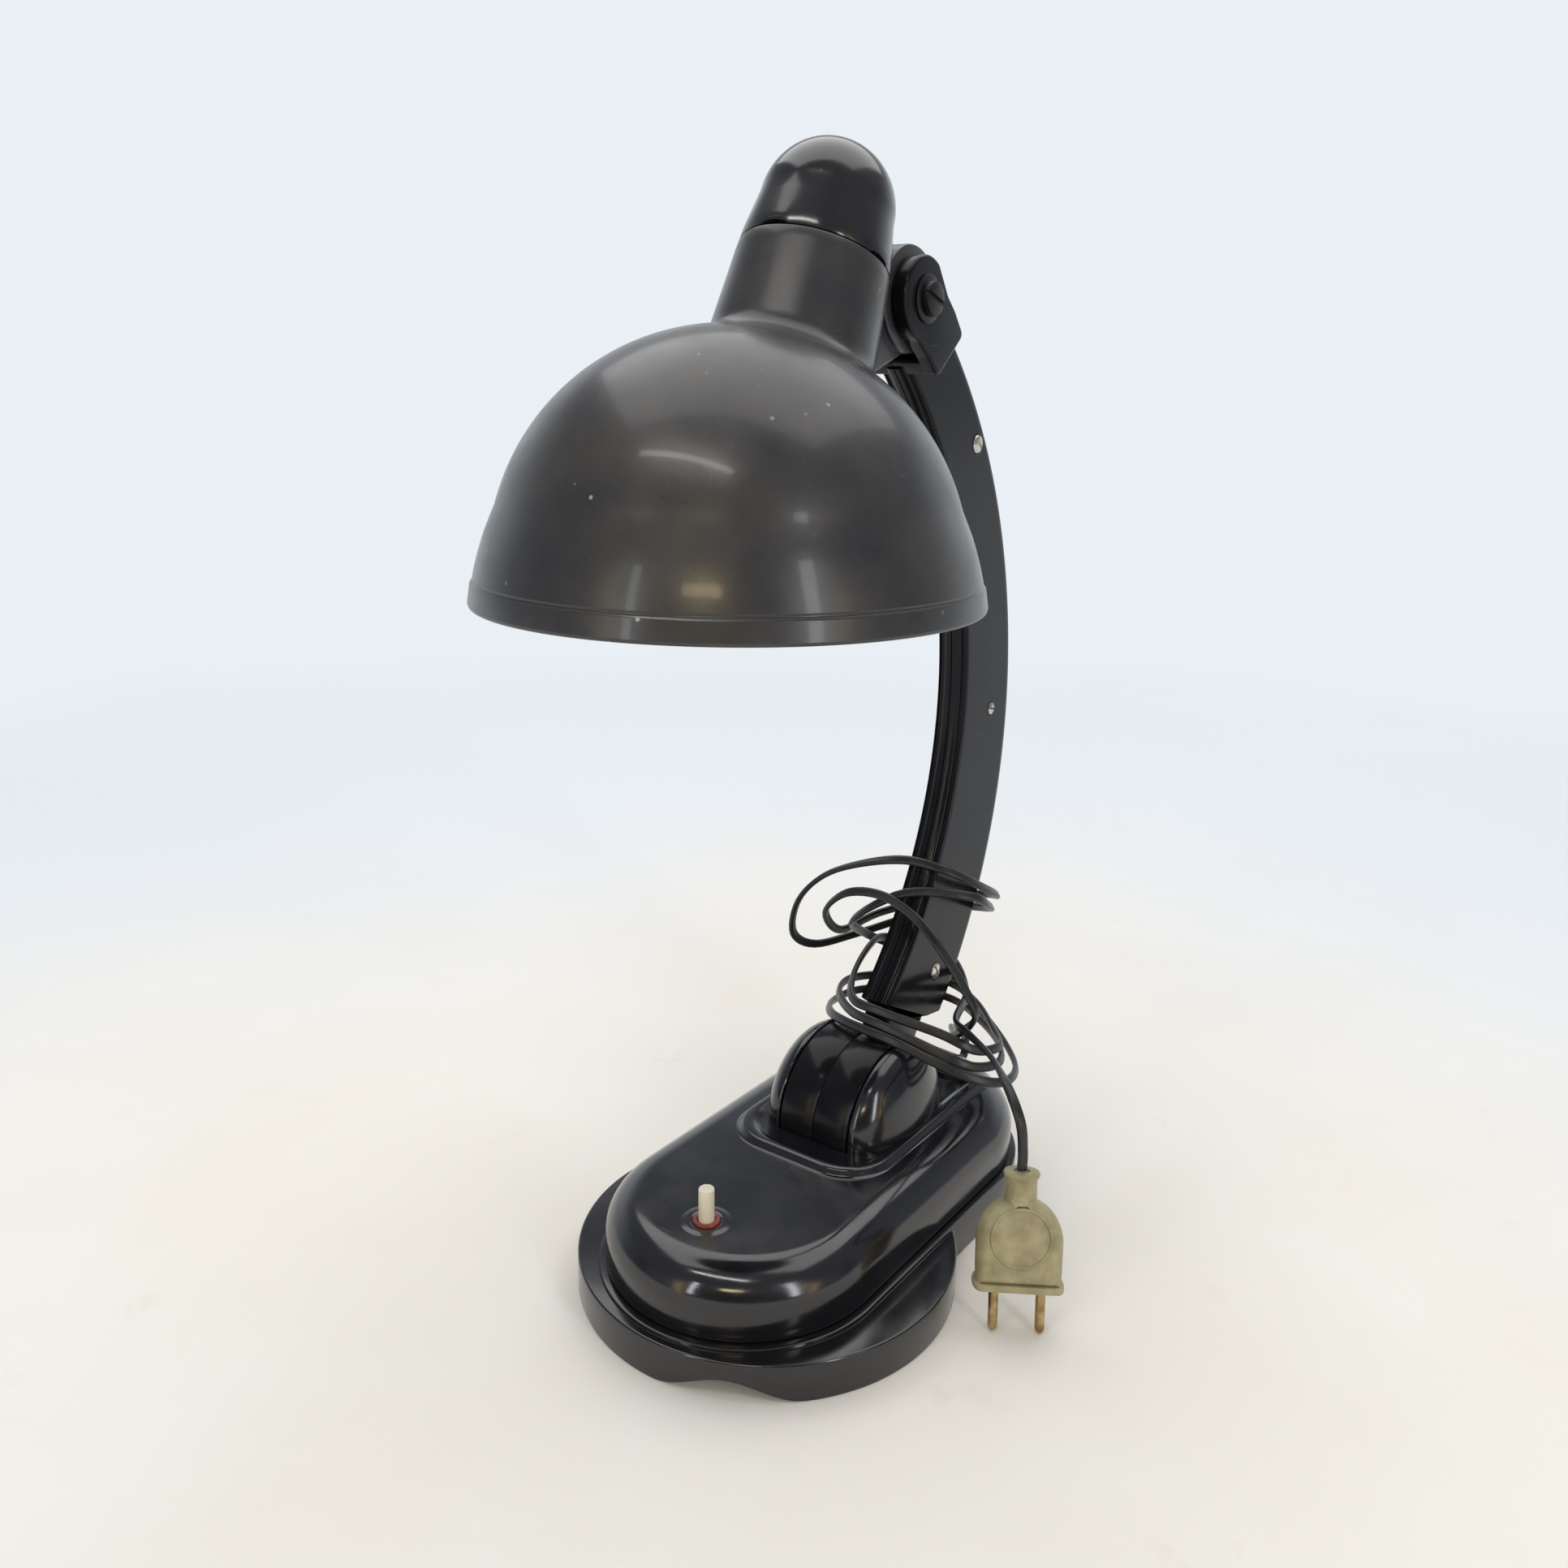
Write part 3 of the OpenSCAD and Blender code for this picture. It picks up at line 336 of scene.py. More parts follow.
class Build:
    """Collects rings and surfaces in millimetres and turns them into one Blender object."""

    def __init__(self):
        self.verts, self.faces = [], []

    def rings(self, rings, caps=(True, True), wrap=False):
        """Skins rings of points. wrap joins the last ring to the first; otherwise caps close the two ends."""
        start, count = len(self.verts), len(rings[0])
        for ring in rings:
            self.verts += [tuple(p) for p in ring]
        pairs = len(rings) if wrap else len(rings) - 1
        for i in range(pairs):
            a, b = start + i * count, start + ((i + 1) % len(rings)) * count
            for k in range(count):
                n = (k + 1) % count
                self.faces.append((a + k, a + n, b + n, b + k))
        if caps[0] and not wrap:
            self.faces.append(tuple(range(start, start + count)))
        if caps[1] and not wrap:
            last = start + (len(rings) - 1) * count
            self.faces.append(tuple(range(last, last + count)))
        return self

    def lathe(self, profile, place, count=96, bend=None, caps=(True, True), wrap=False):
        """Turns (radius, height) points round an axis. bend(height index, angle) can lift a ring's points."""
        rings = []
        for i, (radius, height) in enumerate(profile):
            ring = []
            for k in range(count):
                t = 2 * math.pi * k / count
                lift = bend(i, t) if bend else 0.0
                ring.append(place @ Vector((max(radius, 1e-4) * math.cos(t), max(radius, 1e-4) * math.sin(t),
                                            height + lift)))
            rings.append(ring)
        return self.rings(rings, caps, wrap)

    def plate(self, outline, x0, x1, edges=(0.8, 0.8), steps=4):
        """Side-view outline (y, z) made solid from x0 to x1, with its two rims rounded."""
        rings = []
        sides = ((x0, edges[0], 1), (x1, edges[1], -1))
        for x, radius, way in sides:
            part = []
            for k in range(steps + 1):
                t = math.pi / 2 * k / steps
                shrunk = inset(outline, radius * (1 - math.sin(t)))
                part.append([(x + way * radius * (1 - math.cos(t)), y, z) for y, z in shrunk])
            rings += part if way > 0 else part[::-1]
        return self.rings(rings)

    def made(self, name, material, body, replaced=(), cutters=(), sharp=38):
        """The finished object, riding its body. With no material it is only a cutter for another piece."""
        mesh = bpy.data.meshes.new(name)
        mesh.from_pydata([tuple(c * MM for c in v) for v in self.verts], [], self.faces)
        shape = bmesh.new()
        shape.from_mesh(mesh)
        bmesh.ops.remove_doubles(shape, verts=shape.verts, dist=2e-6)
        bmesh.ops.recalc_face_normals(shape, faces=shape.faces)
        shape.to_mesh(mesh)
        shape.free()
        piece = bpy.data.objects.new(name, mesh)
        bpy.context.collection.objects.link(piece)
        for cutter in cutters:
            tool = cutter.made(name + "_tool", None, None)
            cut = piece.modifiers.new("cut", "BOOLEAN")
            cut.operation, cut.solver, cut.object = "DIFFERENCE", "EXACT", tool
            graph = bpy.context.evaluated_depsgraph_get()
            done = bpy.data.meshes.new_from_object(piece.evaluated_get(graph))
            piece.modifiers.clear()
            piece.data = done
            bpy.data.objects.remove(tool)
        piece.data.name = name
        piece.data.shade_smooth()
        piece.data.set_sharp_from_angle(angle=math.radians(sharp))
        if material is None:
            return piece
        piece.data.materials.clear()
        piece.data.materials.append(MATS[material])
        if body:
            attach(piece, body)
        if replaced:
            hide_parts(*replaced)
        return piece


def along_x(centre):
    """Turns a lathe's axis to X through a point."""
    return Matrix.Translation(centre) @ Matrix.Rotation(math.radians(90), 4, "Y")


def neck_place(along=0.0):
    return Matrix.Translation(RIM) @ Matrix.Rotation(math.radians(-NECK_LEAN), 4, "X") \
        @ Matrix.Translation((0, 0, along))


def up_at(x, y, z=0.0):
    return Matrix.Translation((x, y, z))


# cord ------------------------------------------------------------------------------------------

CORD_W, CORD_T, GROOVE_W, GROOVE_DEEP = 4.4, 2.7, 0.55, 0.16
ARM_MID_Y, ARM_MID_Z, ARM_LEAN = 105, 90, 0.25
# from the plug, round the arm's foot, to the gland: the CAD model's own route
CORD_ROUTE = [
    (96.5, 41.6, 65), (95.5, 43.3, 72.8), (94, 42.1, 86), (83, 50, 96), (66, 68, 96), (47, 85, 93),
    (31, 103, 88), (20, 134, 88), (1, 154, 93), (-15, 149, 99), (-24, 128, 107),
    (-22, 112, 109), (-17, 90, 104), (-9, 76, 98), (6, 73, 97), (35, 81, 91), (49, 89, 84),
    (53, 105, 81), (41, 122, 79), (22, 142, 79), (2, 151, 81), (-17, 144, 83), (-30, 124, 86),
    (-32, 106, 89), (-24, 88, 91), (-8, 74, 92), (8, 69, 93), (38, 75, 85), (51, 83, 79),
    (56, 99, 76), (46, 119, 74), (26, 139, 72), (3, 152, 72), (-20, 145, 74), (-36, 125, 76),
    (-37, 103, 78), (-25, 82, 84), (-8, 70, 88), (18, 67, 88), (48, 77, 77), (61, 91, 71),
    (59, 111, 68), (44, 132, 67), (22, 151, 69), (-3, 161, 78), (-24, 150, 92),
    (-37, 132, 104), (-28, 105, 123), (-1, 107, 142), (25, 122, 142), (26, 140, 132),
    (14, 163, 121), (-6, 171, 114), (-28, 157, 107), (-46, 138, 100), (-58, 117, 98),
    (-62, 103, 108), (-59, 103, 126), (-46, 106, 141), (-27, 111, 150), (-6, 115, 155),
    (13, 119, 153), (23, 135, 143), (21, 158, 131), (4, 176, 122), (-20, 167, 116),
    (-38, 145, 111), (-45, 120, 108), (-43, 103, 124), (-30, 101, 137), (-12, 102, 140),
    (6, 101, 135), (22, 98, 125), (36, 96, 111), (45, 95, 97), (28, 110, 77), (12, 136, 65),
    (3, 158, 53), (0, 174, 42), (0, 175, 31), (0, 164, 27),
]


def smooth_path(points, per_span):
    """Catmull-Rom curve through the points."""
    pts = np.array(points, float)
    pts = np.vstack([2 * pts[0] - pts[1], pts, 2 * pts[-1] - pts[-2]])
    out = []
    for i in range(1, len(pts) - 2):
        p0, p1, p2, p3 = pts[i - 1:i + 3]
        for k in range(per_span):
            t = k / per_span
            out.append(0.5 * (2 * p1 + (p2 - p0) * t + (2 * p0 - 5 * p1 + 4 * p2 - p3) * t ** 2
                              + (3 * p1 - p0 - 3 * p2 + p3) * t ** 3))
    out.append(pts[-2])
    return np.array(out)


def unit_rows(rows):
    return rows / np.maximum(np.linalg.norm(rows, axis=1, keepdims=True), 1e-9)


def add_cord():
    """Flat twin cord: two cores side by side, lying flat round the arm."""
    path = smooth_path(CORD_ROUTE, 6)[::-1]
    ahead = unit_rows(np.gradient(path, axis=0))
    # the flat side faces away from the arm's middle, which leans back with height
    mid_y = ARM_MID_Y + ARM_LEAN * (path[:, 2] - ARM_MID_Z)
    out = np.stack([path[:, 0], path[:, 1] - mid_y, np.zeros(len(path))], axis=1)
    out = unit_rows(out) + np.array([0, 0, 0.25])
    for _ in range(40):
        out[1:-1] = (out[:-2] + 2 * out[1:-1] + out[2:]) / 4
    out -= ahead * np.sum(out * ahead, axis=1, keepdims=True)
    out = unit_rows(out)
    side = np.cross(ahead, out)
    # section: a rounded bar with a core on each side of a shallow groove
    section, count = [], 20
    for k in range(count):
        t = 2 * math.pi * k / count
        wide = (CORD_W / 2) * math.copysign(abs(math.cos(t)) ** 0.8, math.cos(t))
        waist = 1 - GROOVE_DEEP * math.exp(-(wide / GROOVE_W) ** 2)
        section.append((wide, (CORD_T / 2) * math.copysign(abs(math.sin(t)) ** 0.8, math.sin(t)) * waist))
    rings = [[p + side[i] * a + out[i] * b for a, b in section] for i, p in enumerate(path)]
    cord = Build().rings(rings).made("cord_flat", "cord_black", None, ("cord",), sharp=60)
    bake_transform(cord)


# plug ------------------------------------------------------------------------------------------

def plug_place(x=0.0, y=0.0, z=0.0):
    return Matrix.Translation(PLUG_AT) @ Matrix.Rotation(math.radians(PLUG_TURN), 4, "Z") \
        @ Matrix.Rotation(math.radians(-PLUG_LEAN), 4, "X") @ Matrix.Translation((x, y, z))


def slab(build, outline, depth, side, edge, place, steps=8):
    """Front-view outline (x, z) made solid through its depth, with rims side wide and edge deep."""
    rings = []
    for way in (-1, 1):
        part = []
        for k in range(steps + 1):
            t = math.pi / 2 * k / steps
            shrunk = inset(outline, side * (1 - math.sin(t)))
            y = way * (depth / 2 - edge * (1 - math.cos(t)))
            part.append([place @ Vector((x, y, z)) for x, z in shrunk])
        rings += part if way < 0 else part[::-1]
    return build.rings(rings)


def add_plug():
    """Two-pin plug standing on its pins, leaning back a little."""
    low = PIN_L
    place = plug_place()
    body = Build()
    # round shoulders over straight sides, seen from the front
    half, round_at, rise = 17.5, low + 19, 17.5
    shoulder = [(half * math.cos(t) ** 0.95, round_at + rise * math.sin(t)) for t in np.linspace(0, 1.22, 16)]
    right = [(half - 0.4, low + 1.6), (half - 0.1, low + 8)] + shoulder + [(6.0, low + 36.5), (5.6, low + 38)]
    outline = np.array(right + [(-x, z) for x, z in right[::-1]])
    slab(body, outline, PLUG_T, 4.6, 6.2, place)
    flange = rounded([(-18.4, low, 0.5), (18.4, low, 0.5), (18.6, low + 1.4, 1.2), (18.2, low + 2.6, 0.9),
                      (-18.2, low + 2.6, 0.9), (-18.6, low + 1.4, 1.2)], 3)
    rings = []
    for k in range(13):
        t = math.pi * k / 12
        squeeze = 1 - 0.22 * (1 - math.sin(t) ** 0.6)
        y = -(PLUG_T / 2 + 0.7) * math.cos(t)
        rings.append([place @ Vector((x * squeeze, y, z)) for x, z in flange])
    body.rings(rings)
    # neck with a shallow ring, and the lip that the cord goes in at
    neck = [(5.6, 30), (6.9, 34), (6.5, 37), (6.3, 40), (6.3, 44.0), (6.7, 45.0), (7.3, 45.7), (7.4, 46.6),
            (7.0, 47.3), (6.0, 47.5), (3.4, 47.5), (3.0, 46.5)]
    body.lathe([(r, low + z) for r, z in neck], place, 48)
    # round plain badge with a raised rim on each side
    for way in (-1, 1):
        face = plug_place(0, way * 6.9, low + BADGE_UP) @ Matrix.Rotation(math.radians(90 * -way), 4, "X")
        body.lathe([(12.6, -1.2), (12.55, 1.0), (12.2, 1.5), (11.7, 1.5), (11.3, 1.0), (11.1, 0.7),
                    (0, 0.7)], face, 64)
    shell = body.made("plug_shell", "plug_moulding", "base", ("plug_body",))
    pins = Build()
    tip = [(0, 0.25), (0.45, 0.3), (0.8, 0.8), (0.975, 1.8), (1, 3.0), (1, low + 1)]
    for way in (-1, 1):
        pins.lathe([(share * PIN_R, z) for share, z in tip], plug_place(way * PIN_PITCH / 2), 32)
    prongs = pins.made("plug_prongs", "brass", "base", ("plug_pins",))
    return [shell, prongs]


# base ------------------------------------------------------------------------------------------

def stadium(radius, per_end=72):
    """Long outline with a round at each end, anticlockwise from above."""
    ring = []
    for k in range(per_end + 1):
        t = math.pi + math.pi * k / per_end
        ring.append((radius * math.cos(t), FRONT_Y + radius * math.sin(t)))
    for k in range(per_end + 1):
        t = math.pi * k / per_end
        ring.append((radius * math.cos(t), REAR_Y + radius * math.sin(t)))
    return ring


def foot_radius(turn, less):
    """Distance from the foot's centre to the outline of disc and plinth together."""
    disc, half = FOOT_R - less, PLINTH_R - less
    x, y = math.cos(turn), math.sin(turn)
    reach = disc
    if y > 0:
        if abs(x) > 1e-6 and half / abs(x) * y <= REAR_Y:
            reach = max(reach, half / abs(x))
        else:
            reach = max(reach, REAR_Y * y + math.sqrt(max(half ** 2 - (REAR_Y * x) ** 2, 0)))
    return reach


def arch_lift(turn):
    """Height of the finger arch in the foot's lower edge, with softly curved flanks."""
    off = (turn - math.radians(ARCH_TURN) + math.pi) % (2 * math.pi) - math.pi
    along = FOOT_R * math.sin(off)
    if abs(off) > 1 or abs(along) >= ARCH_W / 2 + 4:
        return 0.0
    return ARCH_H * math.cos(math.pi * along / (ARCH_W + 8)) ** 2 * 1.02


def add_foot():
    foot = Build()
    # distance in from the outline, height, and whether the arch lifts it
    rows = [(FOOT_WALL, RECESS_Z, 0), (FOOT_WALL, 0.6, 1), (FOOT_WALL - 0.6, 0, 1), (0.7, 0, 1),
            (0.15, 0.25, 1), (0, 0.9, 1), (0, 10.5, 0), (0, FOOT_H - 1.0, 0), (0.12, FOOT_H - 0.45, 0),
            (0.45, FOOT_H - 0.12, 0), (1.0, FOOT_H, 0), (24, FOOT_H, 0)]
    rings, count = [], 480
    for less, z, lifted in rows:
        ring = []
        for k in range(count):
            t = 2 * math.pi * k / count
            r = foot_radius(t, less)
            ring.append((r * math.cos(t), r * math.sin(t), z + lifted * arch_lift(t)))
        rings.append(ring)
    foot.rings(rings)
    # plinth: a low step under the housing
    steps = [(PLINTH_R - 0.02, FOOT_H - 1.2), (PLINTH_R - 0.02, PLINTH_H - 0.6),
             (PLINTH_R - 0.2, PLINTH_H - 0.18), (PLINTH_R - 0.65, PLINTH_H), (HOUSING_R - 1.6, PLINTH_H),
             (HOUSING_R - 2.0, PLINTH_H - 0.7)]
    foot.rings([[(x, y, z) for x, y in stadium(r)] for r, z in steps])
    foot.made("foot_moulding", "base_moulding", "base", ("foot",))


def deck_outline(less):
    corner = DECK_CORNER - less * 0.5
    half, front, rear = DECK_HALF - less, DECK_FRONT + less, DECK_REAR - less
    return rounded([(-half, front, corner), (half, front, corner), (half, rear, 1.6), (-half, rear, 1.6)], 14)


def dome_profile():
    """Cheek beside the drum: half an ellipse turned round the knuckle's axis."""
    points = [(DRUM_R - 0.9, 0.0), (DRUM_R - 0.25, 0.15), (DRUM_R, 0.6)]
    for k in range(1, 29):
        t = math.pi / 2 * k / 28
        points.append((DRUM_R * math.cos(t), 0.6 + (CHEEK_OUT - 0.6) * math.sin(t)))
    return points


def knuckle_cutters():
    """The drum's round slot, and the trough behind it that the arm swings down into."""
    slot = Build().lathe([(DRUM_R + 0.9, -CHEEK_IN), (DRUM_R + 0.9, CHEEK_IN)], along_x(HINGE), 128)
    back = DECK_REAR + 3
    outline = np.array([(HINGE.y, 70), (HINGE.y, 33), (104, 33), (back, 46), (back, 70)])
    trough = Build().plate(outline, -TROUGH_HALF, TROUGH_HALF, (0.01, 0.01), 1)
    return slot, trough


def add_housing():
    """Rounded housing with a raised deck and two cheeks; the drum's slot is cut through it."""
    shell = Build()
    rows = [(HOUSING_R - 1.5, PLINTH_H - 0.4), (HOUSING_R - 1.5, PLINTH_H + 0.5),
            (HOUSING_R - 0.3, PLINTH_H + 0.9), (HOUSING_R, PLINTH_H + 1.6),
            (HOUSING_R, HOUSING_TOP - HOUSING_ROUND)]
    for k in range(1, 17):
        t = math.pi / 2 * k / 16
        rows.append((HOUSING_R - HOUSING_ROUND * (1 - math.cos(t)),
                     HOUSING_TOP - HOUSING_ROUND * (1 - math.sin(t))))
    shell.rings([[(x, y, z) for x, y in stadium(r)] for r, z in rows])
    shell.made("housing_moulding", "base_moulding", "base", ("housing",), knuckle_cutters())
    deck = Build()
    # distance in from the outline, and height: up the bevel, over the rim and down into the pocket
    steps = [(-1.3, HOUSING_TOP - 0.7), (-1.2, HOUSING_TOP + 0.02), (-0.2, HOUSING_TOP + 0.35),
             (0.2, HOUSING_TOP + 0.9), (1.1, DECK_TOP - 0.7), (1.5, DECK_TOP - 0.2), (2.1, DECK_TOP),
             (5.0, DECK_TOP), (5.5, DECK_TOP - 0.15), (7.6, DECK_TOP - 1.5), (8.2, DECK_TOP - 1.6),
             (13, DECK_TOP - 1.6)]
    deck.rings([[(x, y, z) for x, y in deck_outline(less)] for less, z in steps])
    deck.made("housing_deck", "base_moulding", "base", ("housing",), knuckle_cutters())
    cheeks = Build()
    for way in (-1, 1):
        turn = along_x((way * CHEEK_IN, HINGE.y, HINGE.z))
        if way < 0:
            turn = turn @ Matrix.Rotation(math.pi, 4, "X")
        cheeks.lathe(dome_profile(), turn, 144)
    below = Build().plate(np.array([(20, 0), (120, 0), (120, 30), (20, 30)]), -60, 60, (0.01, 0.01), 1)
    cheeks.made("knuckle_cheeks", "base_moulding", "base", ("housing",), (below,))
    # faint boss round the switch
    boss = Build().lathe([(11.5, HOUSING_TOP - 0.2), (10.4, HOUSING_TOP + 0.02), (9.6, HOUSING_TOP + 0.12),
                          (8.6, HOUSING_TOP + 0.32), (6.4, HOUSING_TOP + 0.45), (5.9, HOUSING_TOP + 0.2),
                          (5.9, HOUSING_TOP - 0.6)], up_at(0, SWITCH_Y), 96)
    boss.made("switch_boss", "base_moulding", "base", ("housing",))


def add_switch():
    low, top = 44, 62.0
    ring = [(5.6, low), (5.6, HOUSING_TOP + 0.7), (5.3, HOUSING_TOP + 1.15), (4.8, HOUSING_TOP + 1.25),
            (3.9, HOUSING_TOP + 1.0), (3.5, HOUSING_TOP + 0.5), (3.4, low)]
    Build().lathe(ring, up_at(0, SWITCH_Y), 64).made("switch_ring", "red_collar", "base", ("switch_collar",))
    button = Build().lathe([(BUTTON_R, 40), (BUTTON_R, top - 0.9), (BUTTON_R - 0.1, top - 0.35),
                            (BUTTON_R - 0.45, top - 0.05), (BUTTON_R - 0.8, top), (0, top + 0.05)],
                           up_at(0, SWITCH_Y), 64)
    button.made("switch_knob", "ivory", "button", ("switch_button",))


# arm -------------------------------------------------------------------------------------------

def fork_point(along, across):
    turn = math.radians(90 + FORK_LEAN)
    return np.array([BOLT.y + along * math.cos(turn) + across * math.sin(turn),
                     BOLT.z + along * math.sin(turn) - across * math.cos(turn)])


def on_arc(centre, radius, turn):
    return centre + radius * np.array([math.cos(turn), math.sin(turn)])


def blade_stations(count=110):
    """Front and back points of the blade from its lower end up to the fork, with the bow of its end."""
    def angles(centre, low, high):
        a = [math.atan2(p[1] - centre[1], p[0] - centre[0]) for p in (low, high)]
        return a[0], a[1]
    front = angles(FRONT_C, np.array([82, 96]), fork_point(-25, -9))
    back = angles(BACK_C, np.array([131, 76]), fork_point(-25, 13))
    rows = []
    for k in range(count + 1):
        t = k / count
        rows.append((on_arc(FRONT_C, FRONT_R, front[0] + (front[1] - front[0]) * t),
                     on_arc(BACK_C, BACK_R, back[0] + (back[1] - back[0]) * t), t))
    return rows


def blade_half(build):
    """The +X half of the blade. Its front edge has a crowned band between two narrow ledges."""
    # x, fraction of the way from front to back, then the distance back from there
    full = BLADE_HALF
    section = [(0.05, 0, 2.0), (0.05, 0, -0.9), (0.3, 0, -1.35), (1.4, 0, -1.4), (2.7, 0, -1.15),
               (3.7, 0, -0.75), (4.3, 0, -0.3), (4.6, 0, 0.15), (4.7, 0, 0.9), (5.0, 0, 1.15),
               (6.5, 0, 1.1), (6.9, 0, 0.5), (7.1, 0, 0.25), (7.35, 0, 0.3), (full, 0, 0.65),
               (full, 0, 2.4), (full, 0.25, 0), (full, 0.5, 0), (full, 0.75, 0), (full, 1, -3.0),
               (full, 1, -1.1), (7.2, 1, -0.4), (6.6, 1, 0), (3.4, 1, 0.1), (0.4, 1, 0.1),
               (0.05, 1, -0.3), (0.05, 1, -2.0)]
    rings = []
    for front, back, t in blade_stations():
        across = back - front
        width = np.linalg.norm(across)
        across /= width
        down = np.array([across[1], -across[0]])
        bow = 4.9 * max(0.0, 1 - t / 0.09) ** 2
        ring = []
        for x, part, off in section:
            run = part * width + off
            share = min(max(run / width, 0), 1)
            p = front + across * run + down * bow * 4 * share * (1 - share)
            ring.append((x, p[0], p[1]))
        rings.append(ring)
    build.rings(rings)


def ear_outline():
    top = [fork_point(EAR_R * math.sin(math.radians(a)), -EAR_R * math.cos(math.radians(a)))
           for a in range(-34, 170, 6)]
    foot = rounded([(*fork_point(-9, 14.5), 0), (*fork_point(-17, 15.8), 8), (*fork_point(-29, 16), 3.2),
                    (*fork_point(-29.6, -9.5), 3.0), (*fork_point(-19, -10.6), 6),
                    (*fork_point(-10.8, -12.8), 0)], 8, closed=False)
    return np.array(top + list(foot))


def drum_half_profile():
    return [(0, 0.05), (DRUM_R - 0.6, 0.05), (DRUM_R - 0.15, 0.25), (DRUM_R, 0.6), (DRUM_R, DRUM_HALF - 0.7),
            (DRUM_R - 0.2, DRUM_HALF - 0.2), (DRUM_R - 0.7, DRUM_HALF), (0, DRUM_HALF)]


def arm_half():
    half = Build()
    blade_half(half)
    half.lathe(drum_half_profile(), along_x(HINGE), 160)
    neck = rounded([(76, 71, 2), (102, 58, 2), (121, 85, 6), (111, 101, 3), (87, 99, 5)], 5)
    half.plate(neck, 0.05, 6.6, (0.02, 1.6))
    bar = rounded([(*fork_point(-29.2, -8.4), 1.2), (*fork_point(-29.2, 14), 1.6),
                   (*fork_point(-21.5, 15), 1.6), (*fork_point(-21.5, -9.6), 1.2)], 4)
    half.plate(bar, 0.05, FORK_IN + 3, (0.02, 0.5))
    half.plate(ear_outline(), FORK_IN + 0.02, FORK_OUT, (0.5, 1.5), 6)
    return half


def add_arm():
    for name, way in (("arm_left", -1), ("arm_right", 1)):
        half = arm_half()
        half.verts = [(way * x, y, z) for x, y, z in half.verts]
        half.made(name + "_moulding", "arm_moulding", "arm", (name,), sharp=30)


def screw_head(build, x, y, z, radius, turn, height=1.5):
    """Domed head standing out along +X; what it returns is the cutter for its slot."""
    place = along_x((x, y, z))
    build.lathe([(radius * 0.55, -1.4), (radius * 0.96, -0.4), (radius, 0.0), (radius, height * 0.35),
                 (radius * 0.93, height * 0.62), (radius * 0.72, height * 0.86),
                 (radius * 0.4, height * 0.97), (0, height)], place, 48)
    spin = place @ Matrix.Rotation(turn, 4, "Z")
    wide, deep = radius * 0.13, height * 0.5
    box = [(-radius * 1.2, -wide), (radius * 1.2, -wide), (radius * 1.2, wide), (-radius * 1.2, wide)]
    return Build().rings([[spin @ Vector((a, b, h)) for a, b in box] for h in (height - deep, height + 2)])


def add_arm_screws():
    """Three slotted screws hold the halves together; the middle one is small and sunk."""
    spots = [(124.2, 98.6, 3.9, 7.1, 0.5), (166.4, 221.3, 3.0, 6.7, 1.3), (137.2, 345.5, 3.9, 7.1, 0.9)]
    for i, (y, z, radius, seat, turn) in enumerate(spots):
        head = Build()
        slot = screw_head(head, seat, y, z, radius, turn)
        head.made("arm_screw_%d" % (i + 1), "nickel", "arm", ("arm_screws",), (slot,), sharp=32)
        ring = Build().lathe([(radius + 0.15, -0.3), (radius + 0.15, 0.12), (radius + 0.55, 0.16),
                              (radius + 1.0, 0.02), (radius + 1.1, -0.3)], along_x((BLADE_HALF, y, z)), 48,
                             caps=(False, False))
        ring.made("screw_seat_%d" % (i + 1), "arm_moulding", "arm")


def add_head_bolt():
    washer = Build().lathe([(3.2, 19.05), (8.6, 19.05), (9.0, 19.35), (9.0, 19.8), (8.6, 20.1), (3.2, 20.1)],
                           along_x((0, BOLT.y, BOLT.z)), 64)
    washer.made("bolt_washer", "blackened_steel", "arm", ("head_washer",))
    head = Build()
    place = along_x((0, BOLT.y, BOLT.z))
    head.lathe([(3.0, -24), (3.0, 20.15), (6.3, 20.15), (6.6, 20.5), (6.6, 22.0), (6.2, 22.9), (5.2, 23.3),
                (0, 23.4)], place, 64)
    spin = place @ Matrix.Rotation(1.25, 4, "Z")
    slot = Build().rings([[spin @ Vector((a, b, h)) for a, b in ((-9, -0.9), (9, -0.9), (9, 0.9), (-9, 0.9))]
                          for h in (21.9, 26)])
    head.made("bolt_head", "blackened_steel", "arm", ("head_bolt",), (slot,))


# shade -----------------------------------------------------------------------------------------

def bell_profile():
    """Outside from the rim up to the crown, then the inside back down."""
    rim = rounded([(86.8, 1.4, 0.8), (87.6, 0.0, 0.8), (90.7, 0.0, 1.0), (91.0, 1.2, 0.6), (90.0, 7.6, 0.5),
                   (89.5, 8.3, 0.4), (88.9, 8.5, 0.3), (88.8, 8.9, 0.3), (89.0, 9.6, 0)], 4, closed=False)
    points = [tuple(p) for p in rim[1:]]
    points += [(88.2, 13), (87.1, 17), (85.8, 21), (84.4, 25), (82.7, 29)]
    low = math.asin((BELL_FROM - DOME_Z) / DOME_R)
    for k in range(41):
        t = low + (math.pi / 2 - low) * k / 40
        points.append((DOME_R * math.cos(t), DOME_Z + DOME_R * math.sin(t)))
    inner = DOME_R - SHADE_WALL
    for k in range(41):
        t = math.pi / 2 - (math.pi / 2 - low) * k / 40
        points.append((inner * math.cos(t), DOME_Z + inner * math.sin(t)))
    points += [(82.0, 22), (84.6, 12.5), (86.0, 8.0), (86.6, 3.0)]
    return points


